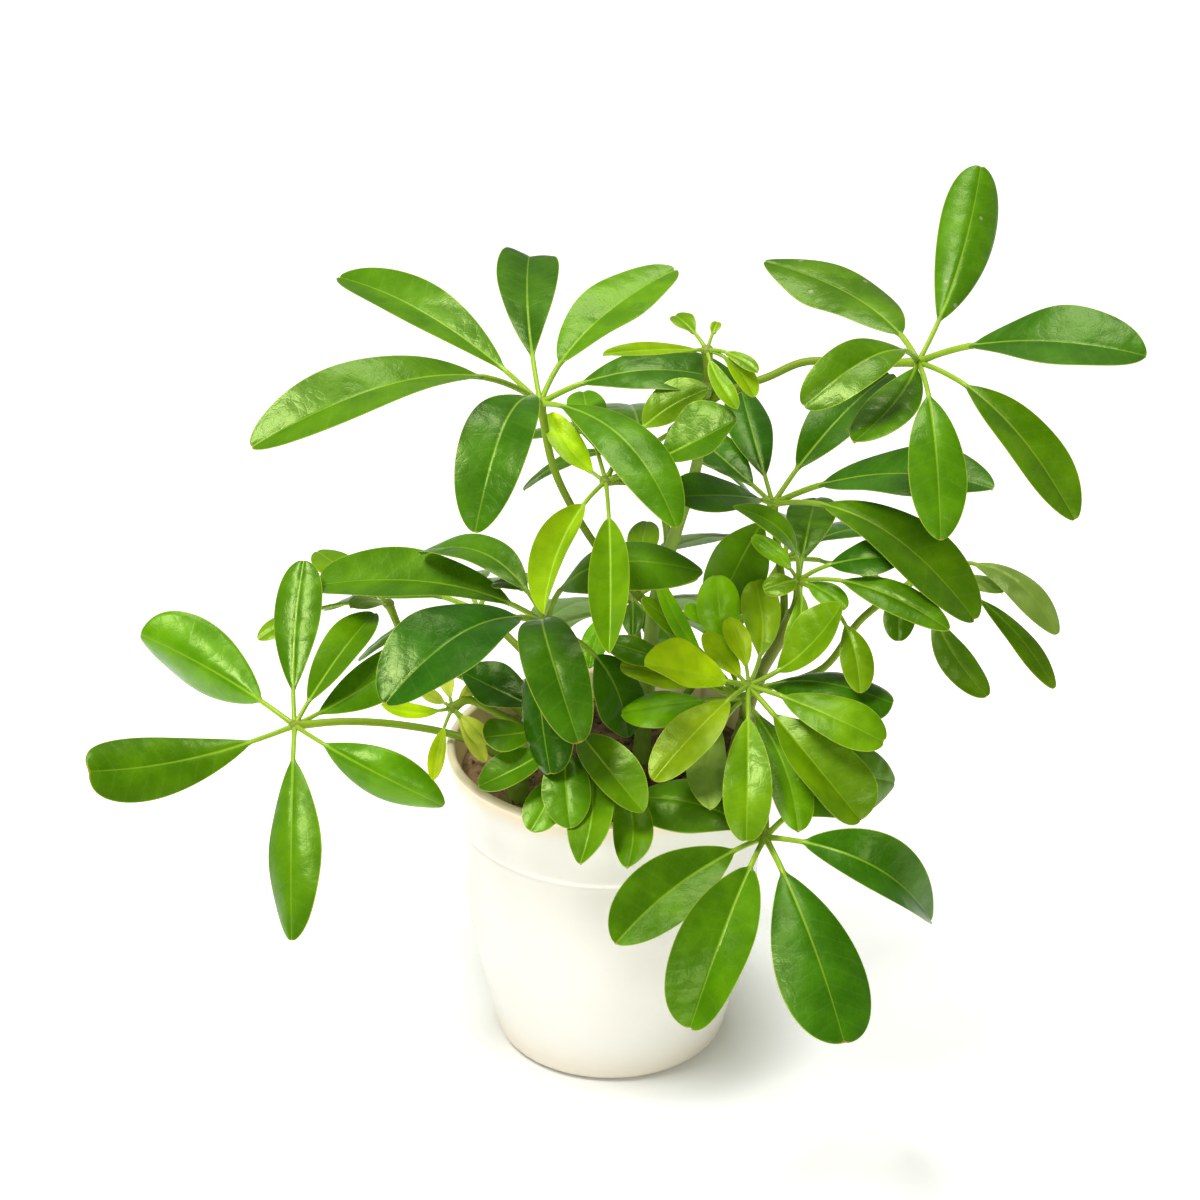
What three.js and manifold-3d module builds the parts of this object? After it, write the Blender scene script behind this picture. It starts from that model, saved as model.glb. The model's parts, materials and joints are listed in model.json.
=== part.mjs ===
// A potted umbrella plant: a cream pot with a collar, a plug of soil, three woody stems and the
// compound leaves that they carry. Each compound leaf is one piece: its stalk, its hub and the
// leaflets that spread from it. Units are millimetres, +Z is up, and the origin is the centre of
// the pot's flat base. The front, which most leaves face, is -Y.
import * as THREE from 'three'
import { mergeVertices } from 'three/addons/utils/BufferGeometryUtils.js'
import Module from 'manifold-3d'

const wasm = await Module()
wasm.setup()

// ---------- driving dimensions ----------
const RIM_RADIUS = 60
const POT_HEIGHT = 120
const COLLAR_HEIGHT = 28
const COLLAR_RADIUS = 57.2
const BODY_RADIUS = 55.2
const FOOT_RADIUS = 44
const BASE_RADIUS = 41
const LIP_THICKNESS = 3.4
const WALL_THICKNESS = 3.6
const FLOOR_THICKNESS = 5
const GROOVE_DEPTH = 0.9
const LATHE_SIDES = 32

const SOIL_LEVEL = 110
const SOIL_CROWN = 2
const STEM_DEPTH = 24

const CLEARANCE = 0.3
const BLADE_THICKNESS = 0.8
const STALK_HALF_WIDTH = 0.95
const BLADE_FOLD = 0.16
const TIP_SHARE = 0.36
const TIP_BLUNTNESS = 0.55
const SMALL_BLADE_WIDTH = 11
const LEAST_HALF_WIDTH = 0.8
const HUB_RADIUS = 2.8
const PETIOLE_RADIUS = 1.5
const PETIOLE_SIDES = 5
const STEM_SIDES = 8

// ---------- solids and meshes ----------

// Turns a closed geometry into a solid: position only, shared corners merged, slivers dropped.
function solid(geometry) {
  const bare = geometry.clone()
  bare.deleteAttribute('normal')
  bare.deleteAttribute('uv')
  const merged = mergeVertices(bare, 1e-4)
  const index = merged.index.array
  const triangles = []
  for (let i = 0; i < index.length; i += 3) {
    const [a, b, c] = [index[i], index[i + 1], index[i + 2]]
    if (a !== b && b !== c && c !== a) triangles.push(a, b, c)
  }
  const mesh = new wasm.Mesh({
    numProp: 3,
    vertProperties: new Float32Array(merged.attributes.position.array),
    triVerts: new Uint32Array(triangles),
  })
  return new wasm.Manifold(mesh)
}

function mesh(name, body, material) {
  const { vertProperties, triVerts } = body.getMesh()
  const geometry = new THREE.BufferGeometry()
  geometry.setAttribute('position', new THREE.BufferAttribute(new Float32Array(vertProperties), 3))
  geometry.setIndex(new THREE.BufferAttribute(new Uint32Array(triVerts), 1))
  geometry.computeVertexNormals()
  const result = new THREE.Mesh(geometry, material)
  result.name = name
  return result
}

const vector = (xyz) => new THREE.Vector3(...xyz)

// A skin through equal rings of points, closed at both ends. Each ring runs counter-clockwise
// when it is looked at against the way the skin goes, and every cap fans from its point `hub`.
function loft(rings, hub = 0) {
  const count = rings[0].length
  const positions = rings.flat().flatMap((point) => point.toArray())
  const index = []
  for (let ring = 0; ring < rings.length - 1; ring++) {
    for (let side = 0; side < count; side++) {
      const [a, b] = [ring * count + side, ring * count + ((side + 1) % count)]
      index.push(a, b, b + count, a, b + count, a + count)
    }
  }
  const last = (rings.length - 1) * count
  for (let step = 1; step < count - 1; step++) {
    const [p, q] = [(hub + step) % count, (hub + step + 1) % count]
    index.push(hub, q, p, last + hub, last + p, last + q)
  }
  const geometry = new THREE.BufferGeometry()
  geometry.setAttribute('position', new THREE.BufferAttribute(new Float32Array(positions), 3))
  geometry.setIndex(index)
  return geometry
}

// A round rod through the points, its radius easing from `start` to `end`; `grow` widens it.
function rod(points, start, end, sides, grow = 0) {
  const curve = new THREE.CatmullRomCurve3(points.map(vector))
  const steps = Math.ceil((points.length - 1) * 1.3)
  const frames = curve.computeFrenetFrames(steps)
  const rings = []
  for (let i = 0; i <= steps; i++) {
    const centre = curve.getPointAt(i / steps)
    const radius = start + (end - start) * (i / steps) + grow
    const ring = []
    for (let side = 0; side < sides; side++) {
      const turn = (2 * Math.PI * side) / sides
      ring.push(
        centre
          .clone()
          .addScaledVector(frames.normals[i], radius * Math.cos(turn))
          .addScaledVector(frames.binormals[i], radius * Math.sin(turn)),
      )
    }
    rings.push(ring)
  }
  return solid(loft(rings))
}

// ---------- the leaflet ----------

// Half-width of a blade, as a share of its greatest half-width, at `v` from base 0 to tip 1: it
// widens in a straight taper, is fullest two thirds of the way out and ends in a blunt tip.
function bladeOutline(v) {
  const taper = (t) => t * (1 - t) ** TIP_BLUNTNESS
  const fullest = 1 / (1 + TIP_BLUNTNESS)
  return Math.max(TIP_SHARE, taper(v) / taper(fullest))
}

const LARGE_STATIONS = [0.2, 0.48, 0.8, 1]
const SMALL_STATIONS = [0.45, 1]

// One leaflet from the hub: a thin stalk that opens into a blade folded a little along its rib.
// `tip` is measured from the hub, `bow` lifts the middle towards the side the leaf faces, and
// `bend` moves it sideways. The blade turns by `twist` degrees up to its tip, and `dish` lifts both
// margins, as a share of the half-width. Every section is a hexagon, rib and two edges, above and below.
function leaflet(hub, facing, [tip, stalk, width, bow, bend, twist = 0, dish = 0]) {
  const reach = vector(tip)
  const length = reach.length()
  const along = reach.clone().normalize()
  const up = facing.clone().addScaledVector(along, -facing.dot(along)).normalize()
  const across = new THREE.Vector3().crossVectors(along, up)
  const base = stalk / length
  const stations = width > SMALL_BLADE_WIDTH ? LARGE_STATIONS : SMALL_STATIONS
  const shape = [[0, STALK_HALF_WIDTH, STALK_HALF_WIDTH], [base, STALK_HALF_WIDTH, STALK_HALF_WIDTH]]
  for (const v of stations) {
    const half = Math.max(LEAST_HALF_WIDTH, (width / 2) * bladeOutline(v))
    shape.push([base + (1 - base) * v, half, BLADE_THICKNESS / 2])
  }
  const rings = shape.map(([u, half, thick]) => {
    const turned = THREE.MathUtils.degToRad(twist) * Math.max(0, (u - base) / (1 - base))
    const arch = 4 * u * (1 - u)
    const slope = (4 * (1 - 2 * u)) / length
    const tangent = along
      .clone()
      .addScaledVector(up, bow * slope)
      .addScaledVector(across, bend * slope)
      .normalize()
    const normal = new THREE.Vector3()
      .crossVectors(across, tangent)
      .normalize()
      .applyAxisAngle(tangent, turned)
    const side = new THREE.Vector3().crossVectors(tangent, normal)
    const rib = hub
      .clone()
      .addScaledVector(reach, u)
      .addScaledVector(up, bow * arch)
      .addScaledVector(across, bend * arch)
    const fold = thick < STALK_HALF_WIDTH ? (BLADE_FOLD + dish) * half : 0
    const edge = Math.min(thick, BLADE_THICKNESS / 2)
    const section = [
      [0, thick],
      [half, edge + fold],
      [half, fold - edge],
      [0, -thick],
      [-half, fold - edge],
      [-half, edge + fold],
    ]
    return section.map(([x, z]) => rib.clone().addScaledVector(side, x).addScaledVector(normal, z))
  })
  return solid(loft(rings, 3))
}

// ---------- materials ----------
const finish = (color, roughness) => new THREE.MeshStandardMaterial({ color, roughness, metalness: 0 })
const CERAMIC = finish('#efe6d3', 0.45)
const SOIL = finish('#5a3f2b', 0.95)
const BARK = finish('#8fa05a', 0.6)
const MATURE = finish('#4f7d22', 0.4)
const YOUNG = finish('#8fae33', 0.35)

// ---------- the pot ----------

// Outside and inside of the pot as one closed outline, [radius, height], from the centre of the
// base, up the outside, over the lip and down the inside to the centre of the floor.
function potOutline() {
  const collarFoot = POT_HEIGHT - COLLAR_HEIGHT
  const outside = [
    [0, 0],
    [BASE_RADIUS, 0],
    [BASE_RADIUS + 2, 2.5],
    [FOOT_RADIUS + 0.2, 9.5],
    [FOOT_RADIUS + 5, 32],
    [FOOT_RADIUS + 8.6, 50],
    [BODY_RADIUS - 0.8, 66],
    [BODY_RADIUS, 84],
    [BODY_RADIUS, collarFoot - 1.8],
    [BODY_RADIUS - GROOVE_DEPTH, collarFoot - 0.8],
    [COLLAR_RADIUS, collarFoot + 0.6],
    [COLLAR_RADIUS + 0.4, collarFoot + 11],
    [RIM_RADIUS - 0.9, POT_HEIGHT - 8],
    [RIM_RADIUS, POT_HEIGHT - 1.2],
    [RIM_RADIUS - 1.2, POT_HEIGHT],
  ]
  const inside = [
    [RIM_RADIUS - LIP_THICKNESS + 0.8, POT_HEIGHT],
    [RIM_RADIUS - LIP_THICKNESS, POT_HEIGHT - 1],
    ...innerWall(0),
    [0, FLOOR_THICKNESS],
  ]
  return [...outside, ...inside]
}

// The inside of the wall below the lip, drawn in by `gap`, from the top down to the floor.
function innerWall(gap) {
  return [
    [RIM_RADIUS - LIP_THICKNESS - 0.8 - gap, POT_HEIGHT - 8],
    [BODY_RADIUS - WALL_THICKNESS - gap, 84],
    [FOOT_RADIUS + 8.6 - WALL_THICKNESS - gap, 50],
    [FOOT_RADIUS + 0.2 - WALL_THICKNESS - gap, 9.5],
    [BASE_RADIUS - WALL_THICKNESS - gap, FLOOR_THICKNESS + gap],
  ]
}

function lathe(outline) {
  const profile = outline.map(([radius, height]) => new THREE.Vector2(radius, height))
  return solid(new THREE.LatheGeometry(profile, LATHE_SIDES).rotateX(Math.PI / 2))
}

// The soil fills the pot to just below its lip and rises a little towards the middle.
function soilPlug() {
  const wall = innerWall(CLEARANCE).reverse()
  wall.pop()
  const edge = RIM_RADIUS - LIP_THICKNESS - 1.2 - CLEARANCE
  return lathe([
    [0, FLOOR_THICKNESS + CLEARANCE],
    ...wall,
    [edge, SOIL_LEVEL - 1.5],
    [edge * 0.75, SOIL_LEVEL],
    [edge * 0.35, SOIL_LEVEL + SOIL_CROWN * 0.6],
    [0, SOIL_LEVEL + SOIL_CROWN],
  ])
}

// ---------- the stems ----------
// Each is a list of points from its foot in the soil, with the radius at its foot and at its top.
const FOOT_LEVEL = SOIL_LEVEL - STEM_DEPTH
const STEMS = {
  stem_main: {
    points: [
      [11, 0, FOOT_LEVEL], [11, 1, 110], [13, 7, 137], [16, 7, 174], [23, 6, 202], [30, 6, 228],
      [34, 6, 263],
    ],
    radii: [3.5, 1.6],
  },
  stem_right: {
    points: [
      [40, -16, FOOT_LEVEL], [41, -15, 108], [47, -4, 126], [53, -2, 147], [59, -2, 160],
      [65, -4, 176],
    ],
    radii: [2.8, 2],
  },
  stem_left: {
    points: [[-34, -26, FOOT_LEVEL], [-34, -25, 108], [-31, -20, 130], [-24, -11, 150], [-23, -11, 165]],
    radii: [4.4, 2.8],
  },
}

// ---------- the compound leaves ----------
// For each: the stem that it springs from (`on`, or none where it rises from the soil), the
// points of its stalk up to the hub, the way the hub faces, and its leaflets, each as
// [tip from the hub, length of stalk, width, bow, bend, twist, dish].
const LEAVES = {
  leaf_top_left: {
    on: 'stem_main',
    stalk: [
      [16, 7, 170], [8, 9, 177], [-4, 12, 191], [-14, 15, 207], [-21, 16, 224], [-25, 18, 246],
    ],
    facing: [-0.1, -0.25, 1],
    finish: MATURE,
    leaflets: [
      [[-95, -70, 14], 33, 28, 23, -9, 5, 0.3],
      [[-74, 56, 26], 16, 22, 9, 0, 0, 0.35],
      [[-5, 90, 24], 21, 23, 6, -2, -15, 0.25],
      [[49, 69, 24], 21, 26, 0, -9, 0, 0.25],
      [[72, 3, 5], 14, 26, 11, 0, 0, 0.1],
      [[47, -65, -18], 9, 22, 10, -6, 10],
      [[-21, -71, -17], 11, 25, 21, -2, 5, 0.2],
    ],
  },
  leaf_top_right: {
    on: 'stem_main',
    stalk: [[33, 6, 252], [40, 7, 255], [54, 8, 260], [68, 8, 266], [88, 6, 266], [106, 5, 267]],
    facing: [0.1, -0.25, 1],
    finish: MATURE,
    leaflets: [
      [[28, 82, 43], 22, 21, -4, 3, -15, -0.4],
      [[72, -40, 19], 23, 33, 10, 5, -8, 0.2],
      [[49, -61, -32], 23, 21, 13, 2, -4, 0.2],
      [[3, -72, -34], 25, 20, 13, 1],
      [[-25, -45, -10], 3, 18, 1, -3, -14],
      [[-42, -39, 0], 13, 19, 15, -4, 18, 0.2],
      [[-51, 64, 13], 16, 29, 0, 11],
    ],
  },
  leaf_low_left: {
    on: 'stem_left',
    stalk: [
      [-33, -22, 121], [-40, -15, 122], [-56, -2, 123.5], [-77, 0, 127], [-96, -5, 131],
      [-114, -8, 131],
    ],
    facing: [-0.25, -0.75, 0.6],
    finish: MATURE,
    leaflets: [
      [[-68, -44, 6], 16, 24, -5, -2, 5, -0.15],
      [[-59, 35, 19], 16, 26, -2, 2, 34, -0.6],
      [[1, 50, 42], 13, 18, 0, -2, -6, -0.1],
      [[27, 43, 24], 9, 16, 4, 0, 7, 0.3],
      [[45, 37, 13], 10, 18, -1, 1, -7],
      [[55, -29, -17], 16, 18, 13, 1, -26, -0.45],
      [[2, -66, -50], 15, 21, 10, -3, -19, -0.2],
    ],
  },
  leaf_low_right: {
    on: 'stem_right',
    stalk: [[46, -5, 124], [47, -14, 128], [50, -36, 130], [53, -56, 127], [53, -70, 121]],
    facing: [0.1, -0.7, 0.7],
    finish: MATURE,
    leaflets: [
      [[-52, -45, -15], 12, 24, 0, 4, -11, 0.35],
      [[-27, -60, -39], 16, 26, 13, 2, -27, 0.6],
      [[24, -73, -36], 16, 32, 5, -1, 21],
      [[58, -10, -28], 10, 22, 24, -1, 22, 0.45],
      [[48, 36, 1], 9, 26, 9, -6, -30, -0.15],
      [[-45, 15, 7], 5, 22, 5, 3, -18, -0.2],
    ],
  },
  leaf_young_front: {
    on: 'stem_right',
    stalk: [[53, -2, 147], [52, -9, 150], [50, -20, 154], [48, -30, 159]],
    facing: [0, -0.4, 1],
    finish: YOUNG,
    leaflets: [
      [[-37, -8, 13], 8, 23, 1, -1, -10, 0.2],
      [[-34, -43, -14], 14, 18, 8, -2, -6],
      [[-2, -52, -33], 15, 17, 7, 0],
      [[38, -41, -31], 15, 25, 5, 2, 10, 0.3],
      [[46, -30, -6], 15, 20, 6, 3],
      [[32, 3, 31], 11, 20, -1, 4, 12, 0.25],
      [[3, 33, 25], 13, 14, -4, 4],
      [[-7, 23, 15], 8, 9, -1, 2],
      [[-15, 22, 10], 6, 10, -3, 1],
    ],
  },
  leaf_old_front: {
    on: 'stem_right',
    stalk: [[49, -4, 133], [48, -9, 138], [47, -14, 145]],
    facing: [0, -0.3, 1],
    finish: MATURE,
    leaflets: [
      [[-44, 3, 12], 14, 17, 2, 0, -5, 0.2],
      [[-44, -12, 1], 16, 19, 6, -4, -8, -0.1],
      [[51, -29, 14], 14, 23, 12, 3, 5, -0.3],
      [[17, -62, -18], 8, 15, 2, -4],
      [[-13, -61, -10], 18, 14, 1, 6, 8],
      [[-9, 19, 40], 14, 16, -2, -2],
      [[-31, 10, 45], 20, 9, -1, -4, -10],
      [[-50, 7, 20], 24, 13, 3, 0],
      [[-36, 15, 33], 25, 9, 0, 2],
      [[-20, 20, 28], 31, 6, 0, 2],
    ],
  },
  leaf_right: {
    on: 'stem_right',
    stalk: [[60, -2, 163], [62, 6, 174], [60, 15, 188], [58, 22, 205]],
    facing: [0.05, -0.3, 1],
    finish: MATURE,
    leaflets: [
      [[-30, 43, 11], 11, 18, 2, -1, 0, 0.2],
      [[-10, 57, 22], 12, 17, 3, -1, -6, -0.2],
      [[46, 62, 25], 16, 23, 5, -1, 9, 0.25],
      [[74, -39, 24], 19, 30, 7, -4, 4, 0.2],
      [[68, -57, -18], 21, 26, 18, 1, 0, 0.2],
      [[-36, -37, 20], 10, 19, 4, -3, 18, 0.2],
      [[-20, -7, -40], 7, 26, 2, 0],
    ],
  },
  leaf_right_inner: {
    on: 'stem_right',
    stalk: [[65, -4, 174], [66, -5, 181], [66, -6, 188]],
    facing: [0, -0.5, 1],
    finish: MATURE,
    leaflets: [
      [[9, 49, 10], 8, 18, 6, 0, 10, 0.15],
      [[-24, -4, 31], 10, 12, 8, 3, -23, 0.2],
      [[16, -18, -2], 5, 10, 3, 0],
      [[50, -40, 1], 20, 14, 9, 0, 0, 0.1],
      [[35, -16, 17], 16, 16, 6, 1],
      [[-16, 16, 10], 5, 8, 0, 2],
      [[-13, -9, 1], 3, 10, 4, -2],
      [[-5, -21, -17], 5, 7, 3, -3],
      [[20, -41, -23], 27, 12, 7, -5],
    ],
  },
  leaf_far_right: {
    stalk: [
      [34, 19, 92], [36, 21, 112], [44, 25, 122], [56, 31, 125], [79, 40, 129], [94, 45, 148],
      [117, 50, 164],
    ],
    facing: [0.2, -0.3, 1],
    finish: MATURE,
    leaflets: [
      [[44, -45, -25], 24, 11, 8, -1],
      [[44, -43, -4], 19, 15, 13, -3],
      [[26, -24, 4], 16, 10, 3, 0],
      [[19, -51, -25], 21, 15, 1, 6],
      [[-12, -31, -13], 13, 12, 4, 4],
    ],
  },
  leaf_young_top: {
    on: 'stem_main',
    stalk: [[27, 6, 214], [22, 3, 219], [8, -3, 225], [-2, -13, 230]],
    facing: [0, -0.6, 1],
    finish: YOUNG,
    leaflets: [
      [[-20, 37, 10], 9, 11, -4, -1],
      [[-21, -53, -25], 14, 14, 4, 4, -34, 0.5],
      [[1, -68, -32], 19, 14, 5, -1, -25, 0.4],
      [[36, 16, 28], 22, 17, 0, -6, 20, 0.15],
      [[45, -1, 24], 21, 25, 0, 1, 19, 0.2],
      [[-8, 47, 14], 14, 14, 4, -1],
    ],
  },
  leaf_tip: {
    on: 'stem_main',
    stalk: [[34, 6, 260], [33.5, 6, 266], [33, 6, 271]],
    facing: [0, -0.4, 1],
    finish: YOUNG,
    leaflets: [
      [[-11, 18, 6], 8, 8, 2, 0],
      [[4, 12, 6], 7, 4, 1, 0],
      [[17, -17, -1], 9, 6, 3, 0],
      [[16, -18, -10], 8, 8, 4, -1],
      [[10, -23, -12], 5, 7, 2, 2],
      [[-36, -20, 7], 4, 7, 2, -1],
    ],
  },
  leaf_left: {
    on: 'stem_left',
    stalk: [[-23, -11, 163], [-23, -12, 168], [-23, -12, 174]],
    facing: [-0.1, -0.35, 1],
    finish: MATURE,
    leaflets: [
      [[-85, 54, -11], 18, 26, 0, 11, 0, 0.35],
      [[-54, -58, -1], 14, 33, 15, 0, 0, 0.2],
      [[-47, 48, 5], 12, 18, 10, 7, -16, 0.25],
      [[-20, 27, 3], 16, 8, 5, 3],
      [[12, -69, -10], 5, 22, 20, 3, 14, 0.1],
      [[2, -59, -28], 19, 18, 14, 2, -26, -0.45],
      [[55, -13, 27], 14, 25, 22, 4, 0, -0.15],
      [[29, -7, -42], 20, 22, 2, -8],
    ],
  },
  leaf_shoot: {
    on: 'stem_left',
    stalk: [[-31, -19, 131], [-33, -23, 140], [-40, -25, 145], [-50, -26, 151], [-56, -28, 149]],
    facing: [0, -0.8, 0.8],
    finish: YOUNG,
    leaflets: [
      [[-4, 16, 8], 4, 6, 1, 0],
      [[9, 11, 4], 3, 5, 1, 0],
      [[-11, -4, 9], 4, 5, 1, 0],
      [[-24, -12, 8], 5, 6, 0, -2],
      [[-6, -25, -15], 9, 6, 2, 1],
      [[13, -12, -8], 5, 7, 2, 0],
      [[12, -16, -13], 5, 6, 2, 0],
    ],
  },
  leaf_far_left: {
    stalk: [
      [-28, 22, 92], [-30, 24, 112], [-40, 31, 122], [-56, 40, 126], [-74, 49, 131],
      [-83, 52, 150],
    ],
    facing: [0, -0.3, 1],
    finish: MATURE,
    leaflets: [
      [[-13, -16, 7], 3, 9, 2, 0],
      [[-47, -23, -3], 28, 10, 6, 1],
      [[-30, 42, 2], 13, 14, 2, -1],
    ],
  },
  leaf_over_rim: {
    on: 'stem_left',
    stalk: [[-31, -20, 131], [-26, -27, 138], [-20, -34, 144], [-14, -38, 149]],
    facing: [0, -0.4, 1],
    finish: MATURE,
    leaflets: [
      [[-39, 19, 10], 17, 22, -4, 2, -19, 0.2],
      [[-30, -22, 6], 20, 16, 2, -3, 0, 0.15],
      [[-32, -28, -10], 20, 15, 7, -8, -10, 0.3],
      [[-14, -40, -21], 22, 14, 2, -3],
      [[0, -45, -17], 16, 17, 6, 2],
      [[3, -56, -25], 24, 16, 3, -6, -21, 0.3],
      [[19, -54, -27], 25, 14, -4, -10, -8],
      [[25, -39, -14], 12, 18, 9, 4, 6, 0.4],
    ],
  },
  leaf_middle: {
    on: 'stem_main',
    stalk: [[13, 7, 135], [12, 18, 139], [10, 32, 146], [8, 42, 157]],
    facing: [0, -0.3, 1],
    finish: MATURE,
    leaflets: [
      [[24, 18, 3], 7, 12, 3, 1],
      [[0, -26, -2], 5, 8, 3, 0],
      [[18, -35, -3], 10, 14, 2, 1],
      [[-16, -32, -12], 12, 10, 4, 3],
      [[6, 47, 10], 14, 12, 3, 0],
    ],
  },
  leaf_back_top: {
    on: 'stem_main',
    stalk: [[20, 7, 190], [20, 22, 195], [17, 46, 200], [12, 70, 204]],
    facing: [0, 0.15, 1],
    finish: MATURE,
    leaflets: [
      [[-6, 71, -13], 14, 26, 8, 0],
      [[42, 51, -16], 14, 24, 8, 0],
      [[41, 6, -20], 9, 20, 6, 0],
      [[-52, 44, -15], 14, 25, 8, 0],
      [[-45, 2, -16], 10, 20, 6, 0],
    ],
  },
  leaf_back_right: {
    stalk: [[22, 32, 92], [24, 34, 112], [34, 45, 124], [52, 62, 142], [66, 74, 158]],
    facing: [0.2, 0.3, 1],
    finish: MATURE,
    leaflets: [
      [[2, 68, -15], 14, 24, 8, 0],
      [[54, 46, -13], 14, 25, 8, 0],
      [[55, -5, -22], 12, 22, 7, 0],
      [[-45, 45, -18], 13, 24, 8, 0],
    ],
  },
  leaf_back_left: {
    stalk: [[-16, 32, 92], [-17, 34, 112], [-26, 44, 125], [-39, 57, 134], [-50, 66, 140]],
    facing: [-0.2, 0.3, 1],
    finish: MATURE,
    leaflets: [
      [[-12, 67, -22], 14, 25, 8, 0],
      [[-61, 38, -18], 15, 25, 8, 0],
      [[-46, -8, -17], 10, 20, 6, 0],
      [[16, 56, -16], 13, 23, 7, 0],
    ],
  },
  leaf_back_low: {
    stalk: [[6, 34, 92], [6, 37, 112], [7, 46, 123], [8, 62, 130], [8, 76, 134]],
    facing: [0, 0.6, 0.8],
    finish: MATURE,
    leaflets: [
      [[0, 68, -25], 14, 28, 9, 0],
      [[41, 45, -25], 13, 25, 8, 0],
      [[-36, 44, -27], 14, 25, 8, 0],
      [[44, 9, -21], 10, 22, 6, 0],
      [[-43, 8, -20], 10, 22, 6, 0],
    ],
  },
}

// A compound leaf: stalk, hub and leaflets in one piece, its foot cut clear of the stem it is on.
function compoundLeaf({ on, stalk, facing, leaflets }) {
  const hub = vector(stalk.at(-1))
  let body = rod(stalk, PETIOLE_RADIUS, PETIOLE_RADIUS, PETIOLE_SIDES)
  const knob = new THREE.OctahedronGeometry(HUB_RADIUS).translate(...hub.toArray())
  body = body.add(solid(knob))
  for (const row of leaflets) body = body.add(leaflet(hub, vector(facing), row))
  return on ? largest(body.subtract(stemSolid(STEMS[on], CLEARANCE))) : largest(body)
}

// The biggest of the pieces that a cut leaves.
function largest(body) {
  return body.decompose().reduce((a, b) => (a.volume() > b.volume() ? a : b))
}

function stemSolid({ points, radii: [start, end] }, grow = 0) {
  const path = grow ? [...points.slice(0, -1), lengthened(points, grow)] : points
  return rod(path, start, end, STEM_SIDES, grow)
}

// The last point of a path, moved on by `extra`.
function lengthened(points, extra) {
  const [before, last] = points.slice(-2).map(vector)
  const onward = last.clone().sub(before).normalize()
  return last.addScaledVector(onward, extra).toArray()
}

// ---------- assembly ----------
const plant = new THREE.Group()
plant.add(mesh('pot', lathe(potOutline()), CERAMIC))

// Plain holes in the soil for whatever stands in it, a little wider and deeper than what they hold.
let soil = soilPlug()
const sunk = (points) => [[points[0][0], points[0][1], points[0][2] - CLEARANCE], ...points.slice(1)]
for (const { points, radii } of Object.values(STEMS)) {
  soil = soil.subtract(rod(sunk(points), radii[0], radii[1], STEM_SIDES, CLEARANCE))
}
for (const { on, stalk } of Object.values(LEAVES)) {
  if (on) continue
  soil = soil.subtract(rod(sunk(stalk), PETIOLE_RADIUS, PETIOLE_RADIUS, PETIOLE_SIDES, 2 * CLEARANCE))
}
plant.add(mesh('soil', soil, SOIL))

for (const [name, stem] of Object.entries(STEMS)) plant.add(mesh(name, stemSolid(stem), BARK))
for (const [name, leaf] of Object.entries(LEAVES)) plant.add(mesh(name, compoundLeaf(leaf), leaf.finish))

export default plant
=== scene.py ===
# %% [markdown]
# # A potted umbrella plant
# The real plant is a young umbrella plant: a few woody stems, and on each a ladder of long leaf
# stalks that end in a hub with a wheel of glossy leaflets. It grows in a plain ivory pot.
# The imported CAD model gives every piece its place. Here each piece is made again as a fine
# surface that stands exactly where its CAD piece is, and gets a finish built from shader maths.

import json
import math

import bpy
import numpy as np
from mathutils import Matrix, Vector


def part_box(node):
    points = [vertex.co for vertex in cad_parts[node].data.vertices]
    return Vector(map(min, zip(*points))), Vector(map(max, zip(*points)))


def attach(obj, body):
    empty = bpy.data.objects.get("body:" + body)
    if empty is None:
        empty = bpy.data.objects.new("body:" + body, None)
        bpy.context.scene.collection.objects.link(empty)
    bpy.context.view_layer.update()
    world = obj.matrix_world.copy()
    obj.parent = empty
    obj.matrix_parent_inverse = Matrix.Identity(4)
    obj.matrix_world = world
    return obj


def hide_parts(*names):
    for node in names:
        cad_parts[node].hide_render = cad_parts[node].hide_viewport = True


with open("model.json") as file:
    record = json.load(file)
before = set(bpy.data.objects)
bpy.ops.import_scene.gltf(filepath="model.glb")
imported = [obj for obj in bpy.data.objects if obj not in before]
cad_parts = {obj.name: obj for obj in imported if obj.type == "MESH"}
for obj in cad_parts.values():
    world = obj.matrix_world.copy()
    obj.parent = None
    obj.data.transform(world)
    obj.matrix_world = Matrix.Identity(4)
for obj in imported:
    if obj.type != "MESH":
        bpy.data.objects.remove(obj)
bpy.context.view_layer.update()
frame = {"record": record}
MM = 0.001

# %% [markdown]
# ## The camera
# The photograph looks down on the pot from the front. The ellipses of the rim and of the foot give
# the pitch and the distance, and a long lens keeps the leaves near the camera from looking large.

# %% Camera
CAMERA_PLACE = Vector((-4, -1084, 718)) * MM
CAMERA_PITCH = math.radians(26.5)
camera = bpy.data.objects.new("camera", bpy.data.cameras.new("camera"))
camera.data.lens = 102
camera.data.sensor_width = 36
camera.data.clip_start = 0.05
camera.location = CAMERA_PLACE
camera.rotation_euler = (math.pi / 2 - CAMERA_PITCH, 0, 0)
bpy.context.scene.collection.objects.link(camera)
bpy.context.scene.camera = camera
print("camera stands", round(CAMERA_PLACE.length, 3), "m from the pot's base")

# %% [markdown]
# ## Light and floor
# A studio table: a wide white floor, a pale room all round that fills every shadow, a soft lamp high
# on the left that puts the pot's shadow on the right, and a weaker lamp in front. The third lamp
# hangs above and a little behind the plant: most blades lie so that they mirror it towards the
# camera, so it draws their pale sheen.

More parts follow.
